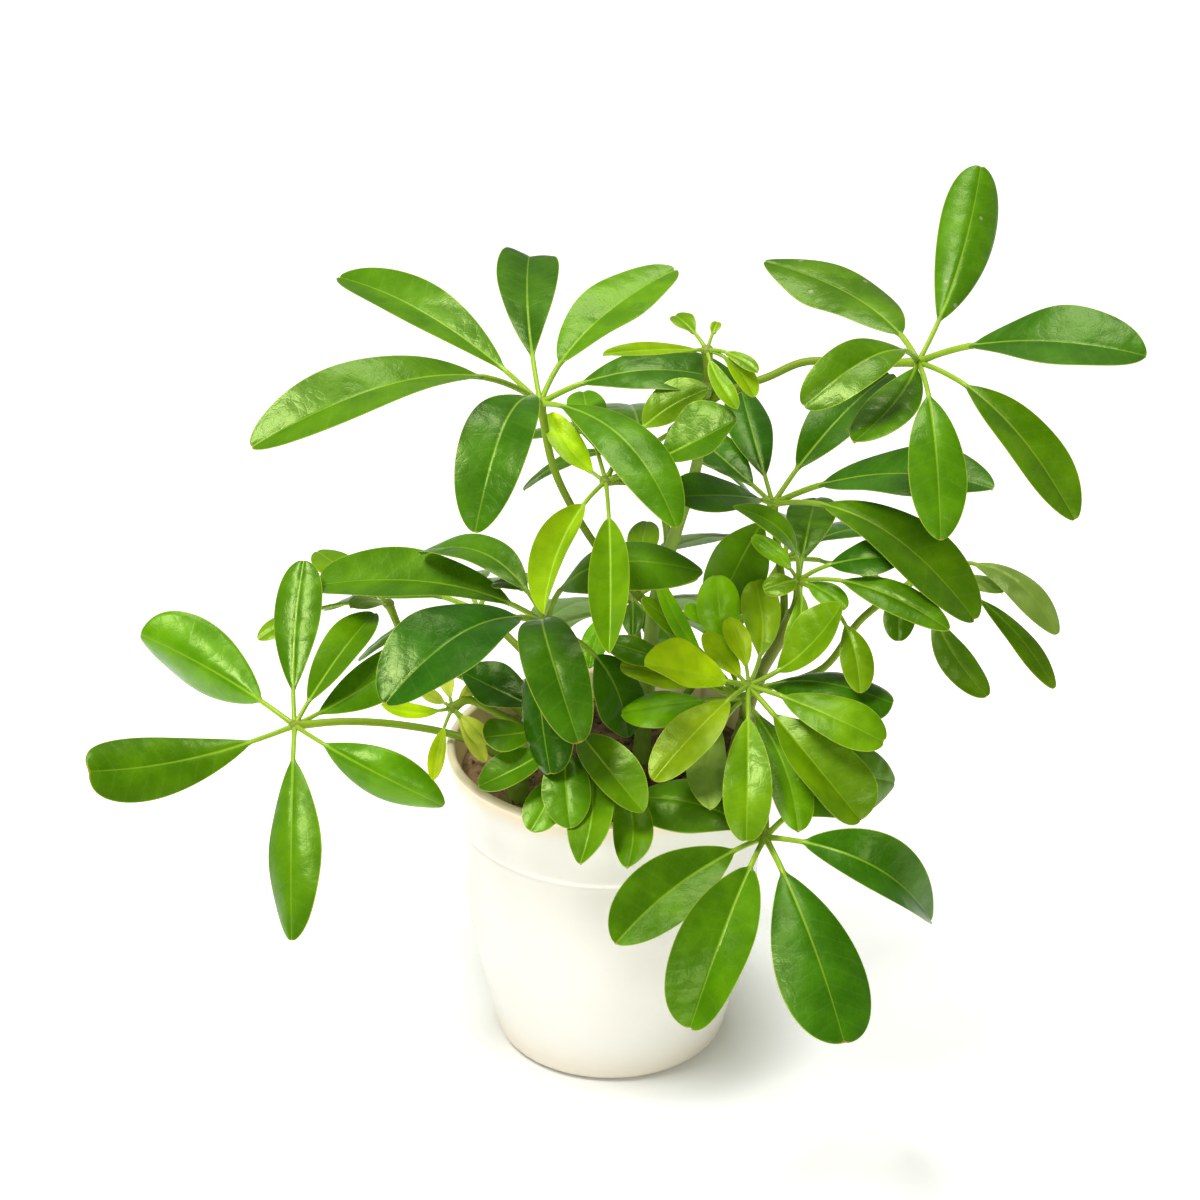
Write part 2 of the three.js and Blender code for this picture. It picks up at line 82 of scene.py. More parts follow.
# %% Studio
FLOOR_HALF = 6.0
ROOM_COLOUR, ROOM_STRENGTH = (1, 0.99, 0.86, 1), 0.24
LAMPS = {  # where it hangs and where it aims, its side, in metres, and its power in watts
    "key lamp": ((-0.6, -0.4, 1.6), (0, 0, 0.15), 0.5, 23),
    "front lamp": ((0.35, -1.7, 0.95), (0, 0, 0.15), 0.5, 6),
    "top lamp": ((0.0, 0.5, 1.6), (0, 0, 0.2), 0.6, 9.5),
}
scene = bpy.context.scene
scene.view_settings.view_transform = "Standard"
scene.view_settings.look = "None"

world = bpy.data.worlds.new("white room")
world.use_nodes = True
background = world.node_tree.nodes["Background"]
background.inputs["Color"].default_value = ROOM_COLOUR
background.inputs["Strength"].default_value = ROOM_STRENGTH
scene.world = world


def lamp(name, place, aim, size, power):
    """A square area lamp at `place` that faces `aim`, both in metres."""
    light = bpy.data.lights.new(name, "AREA")
    light.size = size
    light.energy = power
    holder = bpy.data.objects.new(name, light)
    holder.location = place
    holder.rotation_euler = (Vector(aim) - Vector(place)).to_track_quat("-Z", "Y").to_euler()
    scene.collection.objects.link(holder)


for name, (place, aim, size, power) in LAMPS.items():
    lamp(name, place, aim, size, power)

floor_mesh = bpy.data.meshes.new("floor")
corners = np.array([(-1, -1, 0), (1, -1, 0), (1, 1, 0), (-1, 1, 0)]) * FLOOR_HALF
floor_mesh.from_pydata(corners.tolist(), [], [(0, 1, 2, 3)])
floor = bpy.data.objects.new("floor", floor_mesh)
scene.collection.objects.link(floor)
print("lamps:", list(LAMPS))

# %% [markdown]
# ## Shader maths in Python
# A finish is a formula over the surface. Written as nodes it is hard to read, so one small class
# wraps an output socket and lets `+`, `*` and the rest add the Math node that does the sum. Every
# other node comes from `node`, which sets its options first and then its values and links.


# %% A socket that can be calculated with
class Wire:
    """The output of a shader node. An operator on it adds a Math node and returns its output."""

    def __init__(self, finish, socket):
        self.finish, self.socket = finish, socket

    def math(self, operation, first, second=0.0):
        return self.finish.node("Math", {"operation": operation}, {0: first, 1: second})

    def __add__(self, other):
        return self.math("ADD", self, other)

    def __mul__(self, other):
        return self.math("MULTIPLY", self, other)

    def __sub__(self, other):
        return self.math("SUBTRACT", self, other)

    def __rsub__(self, other):
        return self.math("SUBTRACT", other, self)

    def __truediv__(self, other):
        return self.math("DIVIDE", self, other)

    __radd__, __rmul__ = __add__, __mul__

    def wrapped(self):
        return self.math("FRACT", self)

    def size(self):
        return self.math("ABSOLUTE", self)

    def ramp(self, start, end):
        """0 below `start`, 1 above `end` and a smooth step between them, or falling if start > end."""
        low, high, rising = min(start, end), max(start, end), start < end
        limits = {"From Min": low, "From Max": high, "To Min": 1.0 - rising, "To Max": 1.0 * rising}
        options = {"interpolation_type": "SMOOTHSTEP"}
        return self.finish.node("MapRange", options, {"Value": self, **limits})


class Finish:
    """A material with one Principled shader. `node` adds any node, `shade` feeds the shader."""

    SOCKETS = {"specular_ior_level": "Specular IOR Level"}  # the one name with capitals of its own

    def __init__(self, name, **constants):
        self.material = bpy.data.materials.new(name)
        self.material.use_nodes = True
        self.tree = self.material.node_tree
        self.shader = self.tree.nodes["Principled BSDF"]
        self.shade(**constants)

    def feed(self, socket, value):
        """Links a wire into the socket, or sets it to a number or to a colour like '#rrggbb'."""
        if isinstance(value, Wire):
            self.tree.links.new(value.socket, socket)
        elif isinstance(value, str):
            socket.default_value = linear(value)
        else:
            socket.default_value = value

    def node(self, kind, options=None, values=None, output=0):
        """Adds a node, sets its options, then its values and links, and returns one output."""
        made = self.tree.nodes.new("ShaderNode" + kind)
        for option, setting in (options or {}).items():
            setattr(made, option, setting)
        for socket, value in (values or {}).items():
            self.feed(made.inputs[socket], value)
        return Wire(self, made.outputs[output])

    def place(self):
        """The point's own place on the object, in metres."""
        return self.node("TexCoord", output=3)

    def split(self, vector):
        """The x, y and z of a vector."""
        parts = self.node("SeparateXYZ", None, {0: vector}).socket.node.outputs
        return [Wire(self, part) for part in parts]

    def value(self, name):
        """A number stored at every point of the mesh."""
        return self.node("Attribute", {"attribute_name": name}, output=2)

    def colour(self, name):
        """A colour stored at every point of the mesh."""
        return self.node("Attribute", {"attribute_name": name}, output=0)

    def noise(self, scale, detail=2, rough=0.5):
        """Cloudy noise in 0 to 1, about `scale` clouds a metre."""
        values = {"Vector": self.place(), "Scale": scale, "Detail": detail, "Roughness": rough}
        return self.node("TexNoise", None, values)

    def cells(self, scale, feature="DISTANCE_TO_EDGE"):
        """The distance to the walls of random cells, or with "F1" to their middles."""
        values = {"Vector": self.place(), "Scale": scale}
        return self.node("TexVoronoi", {"feature": feature}, values)

    def mix(self, share, first, second, blend="MIX"):
        """`first` where the share is 0 and `second` where it is 1."""
        options = {"data_type": "RGBA", "blend_type": blend}
        return self.node("Mix", options, {0: share, 6: first, 7: second}, output=2)

    def bump(self, height, depth):
        """A normal tilted by a height of 0 to 1 that stands for `depth` metres."""
        return self.node("Bump", None, {"Height": height, "Distance": depth, "Strength": 1.0})

    def shade(self, **wires):
        """Feeds the shader's inputs, named in small letters."""
        for name, wire in wires.items():
            self.feed(self.shader.inputs[self.SOCKETS.get(name, name.replace("_", " ").title())], wire)


def linear(code):
    """The scene-linear colour of a screen colour written as '#rrggbb'."""
    screen = np.array([int(code[i : i + 2], 16) for i in (1, 3, 5)]) / 255
    return (*np.where(screen < 0.04045, screen / 12.92, ((screen + 0.055) / 1.055) ** 2.4), 1.0)


print("a mid green in scene light:", [round(float(v), 3) for v in linear("#4f7d22")])

# %% [markdown]
# ## Skins
# Every piece of the plant, and the pot, is a skin: rows of points that close round into rings.
# Rings carried along a path make stems and leaflets, and rings of growing radius make the pot.
# A `Piece` gathers skins. It turns a skin that came out inside out, which its signed volume
# shows, caps it at both ends, and keeps a few numbers at every point for the finish to read. A
# bevelled curve makes a rod sooner, but has no numbers at its points.


# %% Pieces made of rings
def unit(rows):
    """Each row divided by its length."""
    return rows / np.linalg.norm(rows, axis=-1, keepdims=True)


def smooth(x, start, end):
    """0 below `start`, 1 above `end`, and 3t² - 2t³ between them."""
    t = np.clip((x - start) / (end - start), 0, 1)
    return t * t * (3 - 2 * t)


class Piece:
    """One object made of closed skins, each a grid of rings × points, with values at the points."""

    VALUES = ("along", "rib", "edge", "vein", "upper", "spots")
    SHARP = math.radians(55)

    def __init__(self, name):
        self.name = name
        self.points, self.faces, self.marks, self.tints, self.finish_of = [], [], [], [], []
        self.total = 0

    def add(self, rings, finish, tint=(0, 0, 0, 1), **values):
        """Rings of points in millimetres, shape (rings, round, 3); joined in order and capped."""
        rows, columns, _ = rings.shape
        flat = rings.reshape(-1, 3)
        index = np.arange(rows * columns).reshape(rows, columns)
        after = np.roll(index, -1, axis=1)
        quads = np.stack([index[:-1], after[:-1], after[1:], index[1:]], axis=-1).reshape(-1, 4)
        faces = [*quads.tolist(), index[0][::-1].tolist(), index[-1].tolist()]
        if signed_volume(flat, quads, index[0][::-1], index[-1]) < 0:
            faces = [face[::-1] for face in faces]
        self.faces += [[corner + self.total for corner in face] for face in faces]
        self.finish_of += [finish] * len(faces)
        self.points.append(flat * MM)
        shape = (rows, columns)
        given = [np.broadcast_to(values.get(name, 0.0), shape).ravel() for name in self.VALUES]
        self.marks.append(np.stack(given))
        self.tints.append(np.broadcast_to(tint, (*shape, 4)).reshape(-1, 4))
        self.total += len(flat)

    def build(self, finishes, slot, *nodes):
        """The mesh object, with its finishes, riding on the plant's body in place of the CAD nodes."""
        mesh = bpy.data.meshes.new(self.name)
        mesh.from_pydata(np.concatenate(self.points).tolist(), [], self.faces)
        for name, numbers in zip(self.VALUES, np.concatenate(self.marks, axis=1)):
            mesh.attributes.new(name, "FLOAT", "POINT").data.foreach_set("value", np.float32(numbers))
        tints = mesh.attributes.new("tint", "FLOAT_COLOR", "POINT")
        tints.data.foreach_set("color", np.float32(np.concatenate(self.tints)).ravel())
        for finish in finishes:
            mesh.materials.append(finish)
        mesh.polygons.foreach_set("material_index", self.finish_of)
        mesh.polygons.foreach_set("use_smooth", [True] * len(self.faces))
        mesh.set_sharp_from_angle(angle=self.SHARP)
        mesh.update()
        piece = bpy.data.objects.new(self.name, mesh)
        scene.collection.objects.link(piece)
        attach(piece, "root")
        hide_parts(*nodes)


def signed_volume(points, quads, first_cap, last_cap):
    """Six times the volume inside a closed skin, above zero where its faces point outwards."""
    caps = [
        np.stack([np.full(len(cap) - 2, cap[0]), cap[1:-1], cap[2:]], axis=-1)
        for cap in (first_cap, last_cap)
    ]
    triangles = np.concatenate([quads[:, [0, 1, 2]], quads[:, [0, 2, 3]], *caps])
    a, b, c = (points[triangles[:, k]] - points[0] for k in range(3))
    return np.einsum("ij,ij->", a, np.cross(b, c))


print("a piece keeps at each point:", ", ".join(Piece.VALUES), "and its tint")

# %% [markdown]
# ## The pot
# The pot was turned: an upright tapered wall, a straight collar round its top, a groove under the
# collar, one faint ring lower down, a round lip and a rounded foot. Its outside is a radius for
# each height, read between a few measured places, smoothed, and cut by the groove and the ring.
# A turned form could be Blender's Screw modifier on a drawn outline; a formula keeps every edge
# where the CAD pot has it, and lets the wall wander by a tenth of a millimetre as cast ware does.

# %% Pot surface
RIM_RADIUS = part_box("pot")[1].x / MM
POT_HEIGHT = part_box("pot")[1].z / MM
COLLAR_FOOT = POT_HEIGHT - 28
RING_HEIGHT = COLLAR_FOOT - 18
LIP = 3.4
WALL = 3.6
FLOOR = 5.0
FOOT_ROUND = 5.0
SOIL_LEVEL = 110.0
WALL_HEIGHTS = (0, 9.5, 18.5, 32, 50, 66, 84, COLLAR_FOOT - 1, COLLAR_FOOT + 1, 103, POT_HEIGHT)
WALL_RADII = (41.5, 44.2, 45.9, 49, 52.6, 54.4, 55.2, 55.2, 57.2, 57.7, RIM_RADIUS - 0.05)
GROOVE_DEPTH, GROOVE_WIDTH = 0.55, 0.9
RING_DEPTH, RING_WIDTH = 0.12, 0.6
WANDER = 0.0012


def bell(x, centre, width):
    """A bump of height 1 that falls to a third at `width` from its centre: e^-((x - c) / w)²."""
    return np.exp(-(((x - centre) / width) ** 2))


def wall_radius(height):
    """Outside radius by height: straight between the measured places, softened over about 1 mm, less
    a bell-shaped groove under the collar and a fainter one at the ring."""
    fine = np.linspace(-4, POT_HEIGHT + 4, 900)
    kernel = np.exp(-0.5 * (np.linspace(-2.5, 2.5, 31)) ** 2)
    padded = np.interp(fine, WALL_HEIGHTS, WALL_RADII)
    soft = np.convolve(np.pad(padded, 15, "edge"), kernel / kernel.sum(), "valid")
    radius = np.interp(height, fine, soft)
    groove = GROOVE_DEPTH * bell(height, COLLAR_FOOT - 0.6, GROOVE_WIDTH)
    return radius - groove - RING_DEPTH * bell(height, RING_HEIGHT, RING_WIDTH)


def arc(centre, radius, start, end, count):
    """Points of a circle's arc in the plane of radius and height, angles in degrees."""
    turn = np.radians(np.linspace(start, end, count))
    return np.stack([centre[0] + radius * np.cos(turn), centre[1] + radius * np.sin(turn)], axis=-1)


def pot_outline():
    """[radius, height] from the base's middle up the outside, over the lip and down the inside."""
    foot = arc((wall_radius(FOOT_ROUND) - FOOT_ROUND, FOOT_ROUND), FOOT_ROUND, -90, -8, 10)
    plain = np.linspace(FOOT_ROUND + 1, COLLAR_FOOT - 4, 60)
    collar = np.linspace(COLLAR_FOOT - 3.5, COLLAR_FOOT + 3, 24)
    upper = np.linspace(COLLAR_FOOT + 4, POT_HEIGHT - LIP / 2 - 0.2, 14)
    heights = np.concatenate([plain, collar, upper])
    outside = np.stack([wall_radius(heights), heights], axis=-1)
    lip = arc((RIM_RADIUS - LIP / 2, POT_HEIGHT - LIP / 2), LIP / 2, 0, 180, 14)
    inner_heights = np.linspace(POT_HEIGHT - 8, FLOOR, 12)
    inside = np.stack([wall_radius(inner_heights) - WALL, inner_heights], axis=-1)
    return np.concatenate([[[1.0, 0.0]], foot, outside, lip, inside, [[1.0, FLOOR]]])


def turned(outline, sides):
    """Rings of an outline carried round the upright axis: (r cos a, r sin a, z)."""
    turn = np.linspace(0, 2 * np.pi, sides, endpoint=False)
    radius, height = outline[:, :1], outline[:, 1:]
    return np.stack([radius * np.cos(turn), radius * np.sin(turn), height + 0 * turn], axis=-1)


pot_rings = turned(pot_outline(), 180)
turn = np.arctan2(pot_rings[..., 1], pot_rings[..., 0])
waves = 1 - np.cos(3 * turn + pot_rings[..., 2] / 30)
pot_rings[..., :2] *= (1 - WANDER * waves * smooth(pot_rings[..., 2], 6, 20))[..., None]
print("pot outline:", len(pot_outline()), "places, rim", round(RIM_RADIUS, 1), "mm")

# %% [markdown]
# ### Ivory glaze
# Thin ivory glaze over a pale body, warmer and a little darker along the lip and round the foot,
# with the faintest clouds and a fine tan grain. Inside the lip, where the wall lies in shade, it is
# painted a lighter cream: painted light. The height and the distance from the axis say where each
# tint lies, so the finish reads the object's own coordinates.

# %% Glaze
LIP_REACH = (0.00335, 0.0032)  # the squares of 57.9 mm and of 56.6 mm, in square metres
glaze = Finish("ivory glaze", coat_weight=0.25, coat_roughness=0.2)
x, y, height = glaze.split(glaze.place())
# Painted light: inside the lip, where the wall lies in shade, the glaze turns a lighter cream.
inside = (x * x + y * y).ramp(*LIP_REACH) * height.ramp(102 * MM, 107 * MM)
clouds = glaze.noise(22, 3)
warm_foot = (height + clouds * 0.012).ramp(26 * MM, 4 * MM)
warm_lip = (height + clouds * 0.01).ramp((POT_HEIGHT - 6) * MM, (POT_HEIGHT + 3) * MM)
pale = glaze.mix(clouds.ramp(0.35, 0.7) * 0.5, "#f0ede5", "#ece7db")
warmed = glaze.mix(inside, glaze.mix(warm_foot * 0.4 + warm_lip * 0.8, pale, "#f1dcb2"), "#ffe9c2")
grain = glaze.noise(420).ramp(0.62, 0.8)
glaze.shade(
    base_color=glaze.mix(grain * 0.12, warmed, "#d9cba9"),
    roughness=clouds * 0.16 + 0.3,
    normal=glaze.bump(glaze.noise(160, 3), 0.12 * MM),
)
pot = Piece("ivory_pot")
pot.add(pot_rings, 0)
pot.build([glaze.material], "pot", "pot")
print("pot faces:", len(pot.faces))

# %% [markdown]
# ## The soil
# Dry potting soil: a heap that is a little higher in the middle, with dips, lumps and crumbs of
# bark. The heap is a turned surface pushed up and down by waves of many lengths. The crumbs are
# small rough balls of 24 points, squashed and turned at random and half sunk into the heap.

# %% Soil surface
SOIL_EDGE = 54.6
HEAP, ROUGH, EDGE_DROP = 1.2, 0.9, 1.5
draw = np.random.default_rng(11)
WAVE_LENGTHS = np.geomspace(40, 2.5, 22)
WAVE_HEADINGS, WAVE_PHASES = draw.uniform(0, 2 * np.pi, (2, len(WAVE_LENGTHS)))


def ripples(x, y):
    """Rough ground: sine waves of many lengths and headings added up, the short ones lower."""
    across = x[..., None] * np.cos(WAVE_HEADINGS) + y[..., None] * np.sin(WAVE_HEADINGS)
    waves = np.sin(across * 2 * np.pi / WAVE_LENGTHS + WAVE_PHASES)
    return (waves * (WAVE_LENGTHS / WAVE_LENGTHS[0]) ** 0.6).sum(-1) / 2


def soil_height(x, y):
    """The heap: highest in the middle, with dips and lumps, and lower along the wall."""
    radius = np.hypot(x, y)
    heap = SOIL_LEVEL + HEAP * np.cos(np.clip(radius / SOIL_EDGE, 0, 1) * np.pi / 2)
    return heap + ROUGH * ripples(x, y) - EDGE_DROP * smooth(radius, SOIL_EDGE - 6, SOIL_EDGE)


top_outline = np.stack([np.linspace(SOIL_EDGE, 0.4, 70), np.full(70, SOIL_LEVEL)], axis=-1)
wall_heights = np.linspace(FLOOR + 0.5, SOIL_LEVEL - 3, 10)
under = np.stack([wall_radius(wall_heights) - WALL - 0.5, wall_heights], axis=-1)
soil_rings = turned(np.concatenate([[[1.0, FLOOR + 0.5]], under, top_outline]), 200)
top = soil_rings[len(under) + 1 :]
level = soil_height(top[..., 0], top[..., 1])
top[..., 2] = level
soil = Piece("potting_soil")
soil.add(soil_rings, 0)
print("soil surface:", level.shape, "from", round(level.min(), 1), "to", round(level.max(), 1), "mm")


# %% Crumbs
CRUMBS = 420
CRUMB_SIZE = 2.2


def crumb(place, size):
    """A squashed ball of 4 rings of 6 points, each at its own distance, turned at random."""
    level = np.linspace(-0.92, 0.92, 4)[:, None]
    turn = np.linspace(0, 2 * np.pi, 6, endpoint=False) + draw.uniform(0, 1)
    radius = np.sqrt(1 - level**2) * draw.uniform(0.75, 1.2, (4, 6))
    ball = np.stack([radius * np.cos(turn), radius * np.sin(turn), level + 0 * turn], axis=-1)
    turning, _ = np.linalg.qr(draw.normal(size=(3, 3)))
    return place + (ball * size * draw.uniform(0.5, 1.1, 3)) @ turning


for _ in range(CRUMBS):
    radius, angle = SOIL_EDGE * 0.97 * math.sqrt(draw.uniform()), draw.uniform(0, 2 * math.pi)
    x, y = radius * math.cos(angle), radius * math.sin(angle)
    size = draw.uniform(0.4, 1.0) ** 2 * CRUMB_SIZE
    z = soil_height(np.array(x), np.array(y)) + size * 0.2
    soil.add(crumb(np.array([x, y, z]), size), 0)
print("crumbs:", CRUMBS)

# %% [markdown]
# ### Earth
# Brown clods with darker damp patches, and the hollows between the lumps painted darker: painted
# shade. A dusty tan crust lies on the left, where the soil that shows beside the wall has dried. A
# picture of soil would smear over the crumbs, so clouds of noise choose between the browns, and the
# finest clouds also roughen the surface.

# %% Earth finish
earth = Finish("potting earth", roughness=0.95)
x, _, _ = earth.split(earth.place())
lumps = earth.noise(300, 6, 0.7)
damp = earth.noise(45).ramp(0.4, 0.62)
dusty = earth.mix(damp, "#8a6a4c", "#4a3020")
dry = (x * -1.0).ramp(12 * MM, 42 * MM) * 0.8
ground = earth.mix(dry, dusty, "#c49c70")
earth.shade(
    # Painted shade: the low places of the lumps, which the bump makes hollows, are mixed towards
    # near-black.
    base_color=earth.mix(lumps.ramp(0.35, 0.65) * 0.75, earth.mix(0.6, ground, "#1d120b"), ground),
    normal=earth.bump(lumps, 1.2 * MM),
)
soil.build([earth.material], "soil", "soil")
print("soil faces:", len(soil.faces))

# %% [markdown]
# ## Where the plant grows
# These lists say how the plant stands, in millimetres. They follow the CAD source, and add the few
# habits that only a fine surface can show: a deeper fold, a rolled tip, a blade with no waves, pale
# spots. A stem is a path with its radius at foot and tip. A compound leaf is a stalk that ends in a
# hub, the way the hub faces, and its leaflets: the tip's place from the hub, the length of the
# leaflet's own stalk, the blade's width, how far its middle bows up and bends sideways, its tone,
# and any habit of its own. A leaf on no stem rises from the soil. The leaves are irregular, so no
# rule gives them.

# %% Stems
STEMS = {
    "stem_main": {
        "points": [(11, 0, 86), (11, 1, 110), (13, 7, 137), (16, 7, 174), (23, 6, 202),
                   (30, 6, 228), (34, 6, 263)],
        "radii": (3.5, 1.6),
    },
    "stem_right": {
        "points": [(40, -16, 86), (41, -15, 108), (47, -4, 126), (53, -2, 147),
                   (59, -2, 160), (65, -4, 176)],
        "radii": (2.8, 2),
    },
    "stem_left": {
        "points": [(-34, -26, 86), (-34, -25, 108), (-31, -20, 130), (-24, -11, 150), (-23, -11, 165)],
        "radii": (4.4, 2.8),
    },
}
print("stems:", list(STEMS))

# %% Leaves at the top
LEAVES = {}


def compound_leaf(name, stem, facing, stalk, *leaflets):
    """Notes down the plan of one compound leaf."""
    LEAVES[name] = {"on": stem, "facing": facing, "stalk": stalk, "leaflets": leaflets}


compound_leaf(
    "leaf_top_left", "stem_main", (-0.1, -0.25, 1),
    [(16, 7, 170), (8, 9, 177), (-4, 12, 191), (-14, 15, 207), (-21, 16, 224), (-25, 18, 246)],
    ((-95, -70, 14), 33, 28, 23, -9, "mid", {"twist": 5, "dish": 0.3}),
    ((-74, 56, 26), 16, 22, 9, 0, "mid", {"blunt": 0.62, "dish": 0.35}),
    ((-5, 90, 24), 21, 23, 6, -2, "deep",
     {"twist": -15, "blunt": 0.36, "dish": 0.25, "notch": 0.0, "curl": 30}),
    ((49, 69, 24), 21, 26, 0, -9, "olive", {"blunt": 0.55, "dish": 0.25}),
    ((72, 3, 5), 14, 26, 11, 0, "deep", {"dish": 0.1}),
    ((47, -65, -18), 9, 22, 10, -6, "mid", {"twist": 10, "blunt": 0.64}),
    ((-21, -71, -17), 11, 25, 21, -2, "deep", {"twist": 5, "dish": 0.2}),
)
compound_leaf(
    "leaf_top_right", "stem_main", (0.1, -0.25, 1),
    [(33, 6, 252), (40, 7, 255), (54, 8, 260), (68, 8, 266), (88, 6, 266), (106, 5, 267)],
    ((28, 82, 43), 22, 21, -4, 3, "mid", {"twist": -15, "blunt": 0.42, "dish": -0.4, "spots": 1}),
    ((72, -40, 19), 23, 33, 10, 5, "deep", {"twist": -8, "blunt": 0.63, "dish": 0.2}),
    ((49, -61, -32), 23, 21, 13, 2, "mid", {"twist": -4, "blunt": 0.63, "dish": 0.2}),
    ((3, -72, -34), 25, 20, 13, 1, "mid"),
    ((-25, -45, -10), 3, 18, 1, -3, "mid", {"twist": -14, "blunt": 0.63}),
    ((-42, -39, 0), 13, 19, 15, -4, "mid", {"twist": 18, "blunt": 0.53, "dish": 0.2, "spots": 1}),
    ((-51, 64, 13), 16, 29, 0, 11, "mid", {"blunt": 0.69, "spots": 1}),
)
print("compound leaves so far:", len(LEAVES))

# %% Low leaves in front of the pot
compound_leaf(
    "leaf_low_left", "stem_left", (-0.25, -0.75, 0.6),
    [(-33, -22, 121), (-40, -15, 122), (-56, -2, 123.5),
     (-77, 0, 127), (-96, -5, 131), (-114, -8, 131)],
    ((-68, -44, 6), 16, 24, -5, -2, "mid", {"twist": 5, "blunt": 0.36, "dish": -0.15}),
    ((-59, 35, 19), 16, 26, -2, 2, "olive", {"twist": 34, "blunt": 0.45, "dish": -0.6}),
    ((1, 50, 42), 13, 18, 0, -2, "mid", {"twist": -6, "blunt": 0.47, "dish": -0.1}),
    ((27, 43, 24), 9, 16, 4, 0, "olive", {"twist": 7, "blunt": 0.62, "dish": 0.3}),
    ((45, 37, 13), 10, 18, -1, 1, "olive", {"twist": -7}),
    ((55, -29, -17), 16, 18, 13, 1, "olive", {"twist": -26, "blunt": 0.65, "dish": -0.45}),
    ((2, -66, -50), 15, 21, 10, -3, "mid", {"twist": -19, "blunt": 0.61, "dish": -0.2}),
)
compound_leaf(
    "leaf_low_right", "stem_right", (0.1, -0.7, 0.7),
    [(46, -5, 124), (47, -14, 128), (50, -36, 130), (53, -56, 127), (53, -70, 121)],
    ((-52, -45, -15), 12, 24, 0, 4, "mid", {"twist": -11, "dish": 0.35}),
    ((-27, -60, -39), 16, 26, 13, 2, "mid", {"twist": -27, "blunt": 0.49, "dish": 0.6}),
    ((24, -73, -36), 16, 32, 5, -1, "deep", {"twist": 17, "blunt": 0.46, "fold": 0.1, "wave": 0.0}),
    ((58, -10, -28), 10, 22, 24, -1, "deep", {"twist": 22, "blunt": 0.76, "dish": 0.45}),
    ((48, 36, 1), 9, 26, 9, -6, "mid", {"twist": -30, "blunt": 0.68, "dish": -0.15}),
    ((-45, 15, 7), 5, 22, 5, 3, "mid", {"twist": -18, "blunt": 0.46, "dish": -0.2}),
)
print("compound leaves so far:", len(LEAVES))

# %% Leaves over the rim at the front
compound_leaf(
    "leaf_young_front", "stem_right", (0, -0.4, 1),
    [(53, -2, 147), (52, -9, 150), (50, -20, 154), (48, -30, 159)],
    ((-37, -8, 13), 8, 23, 1, -1, "lemon", {"twist": -10, "blunt": 0.63, "dish": 0.2}),
    ((-34, -43, -14), 14, 18, 8, -2, "lime", {"twist": -6}),
    ((-2, -52, -33), 15, 17, 7, 0, "fresh", {"blunt": 0.5}),
    ((38, -41, -31), 15, 25, 5, 2, "fresh", {"twist": 10, "blunt": 0.4, "dish": 0.3}),
    ((46, -30, -6), 15, 20, 6, 3, "fresh", {"blunt": 0.46}),
    ((32, 3, 31), 11, 20, -1, 4, "fresh", {"twist": 12, "blunt": 0.62, "dish": 0.25}),
    ((3, 33, 25), 13, 14, -4, 4, "lime", {"blunt": 0.46}),
    ((-7, 23, 15), 8, 9, -1, 2, "lemon"),
    ((-15, 22, 10), 6, 10, -3, 1, "lemon"),
)
# Painted light: the lemon and bright tints of these leaflets, which lie in the shade of the leaf above
# them, are lighter than their own green.
compound_leaf(
    "leaf_old_front", "stem_right", (0, -0.3, 1),
    [(49, -4, 133), (48, -9, 138), (47, -14, 145)],
    ((-44, 3, 12), 14, 17, 2, 0, "lemon", {"twist": -5, "dish": 0.2}),
    ((-44, -12, 1), 16, 19, 6, -4, "bright", {"twist": -8, "blunt": 0.67, "dish": -0.1}),
    ((51, -29, 14), 14, 23, 12, 3, "deep", {"twist": 5, "blunt": 0.37, "dish": -0.3}),
    ((17, -62, -18), 8, 15, 2, -4, "olive", {"blunt": 0.5}),
    ((-13, -61, -10), 18, 14, 1, 6, "grey", {"twist": 8, "blunt": 0.66}),
    ((-9, 19, 40), 14, 16, -2, -2, "bright", {"blunt": 0.5}),
    ((-31, 10, 45), 20, 9, -1, -4, "bright", {"twist": -10, "blunt": 0.75}),
    ((-50, 7, 20), 24, 13, 3, 0, "olive"),
    ((-36, 15, 33), 25, 9, 0, 2, "fresh"),
    ((-20, 20, 28), 31, 6, 0, 2, "bright"),
)
print("compound leaves so far:", len(LEAVES))

# %% Leaves on the right
compound_leaf(
    "leaf_right", "stem_right", (0.05, -0.3, 1),
    [(60, -2, 163), (62, 6, 174), (60, 15, 188), (58, 22, 205)],
    ((-30, 43, 11), 11, 18, 2, -1, "deep", {"dish": 0.2}),
    ((-10, 57, 22), 12, 17, 3, -1, "dark", {"twist": -6, "dish": -0.2}),
    ((46, 62, 25), 16, 23, 5, -1, "deep", {"twist": 9, "blunt": 0.63, "dish": 0.25}),
    ((74, -39, 24), 19, 30, 7, -4, "deep", {"twist": 4, "blunt": 0.69, "dish": 0.2}),
    ((68, -57, -18), 21, 26, 18, 1, "mid", {"blunt": 0.49, "dish": 0.2}),
    ((-36, -37, 20), 10, 19, 4, -3, "deep", {"twist": 18, "blunt": 0.42, "dish": 0.2}),
    ((-20, -7, -40), 7, 26, 2, 0, "olive"),
)
compound_leaf(
    "leaf_right_inner", "stem_right", (0, -0.5, 1),
    [(65, -4, 174), (66, -5, 181), (66, -6, 188)],
    ((9, 49, 10), 8, 18, 6, 0, "mid", {"twist": 10, "dish": 0.15}),
    ((-24, -4, 31), 10, 12, 8, 3, "olive", {"twist": -23, "blunt": 0.73, "dish": 0.2}),
    ((16, -18, -2), 5, 10, 3, 0, "olive"),
    ((50, -40, 1), 20, 14, 9, 0, "mid", {"blunt": 0.67, "dish": 0.1}),
    ((35, -16, 17), 16, 16, 6, 1, "dark"),
    ((-16, 16, 10), 5, 8, 0, 2, "bright"),
    ((-13, -9, 1), 3, 10, 4, -2, "fresh"),
    ((-5, -21, -17), 5, 7, 3, -3, "fresh"),
    ((20, -41, -23), 27, 12, 7, -5, "fresh"),
)
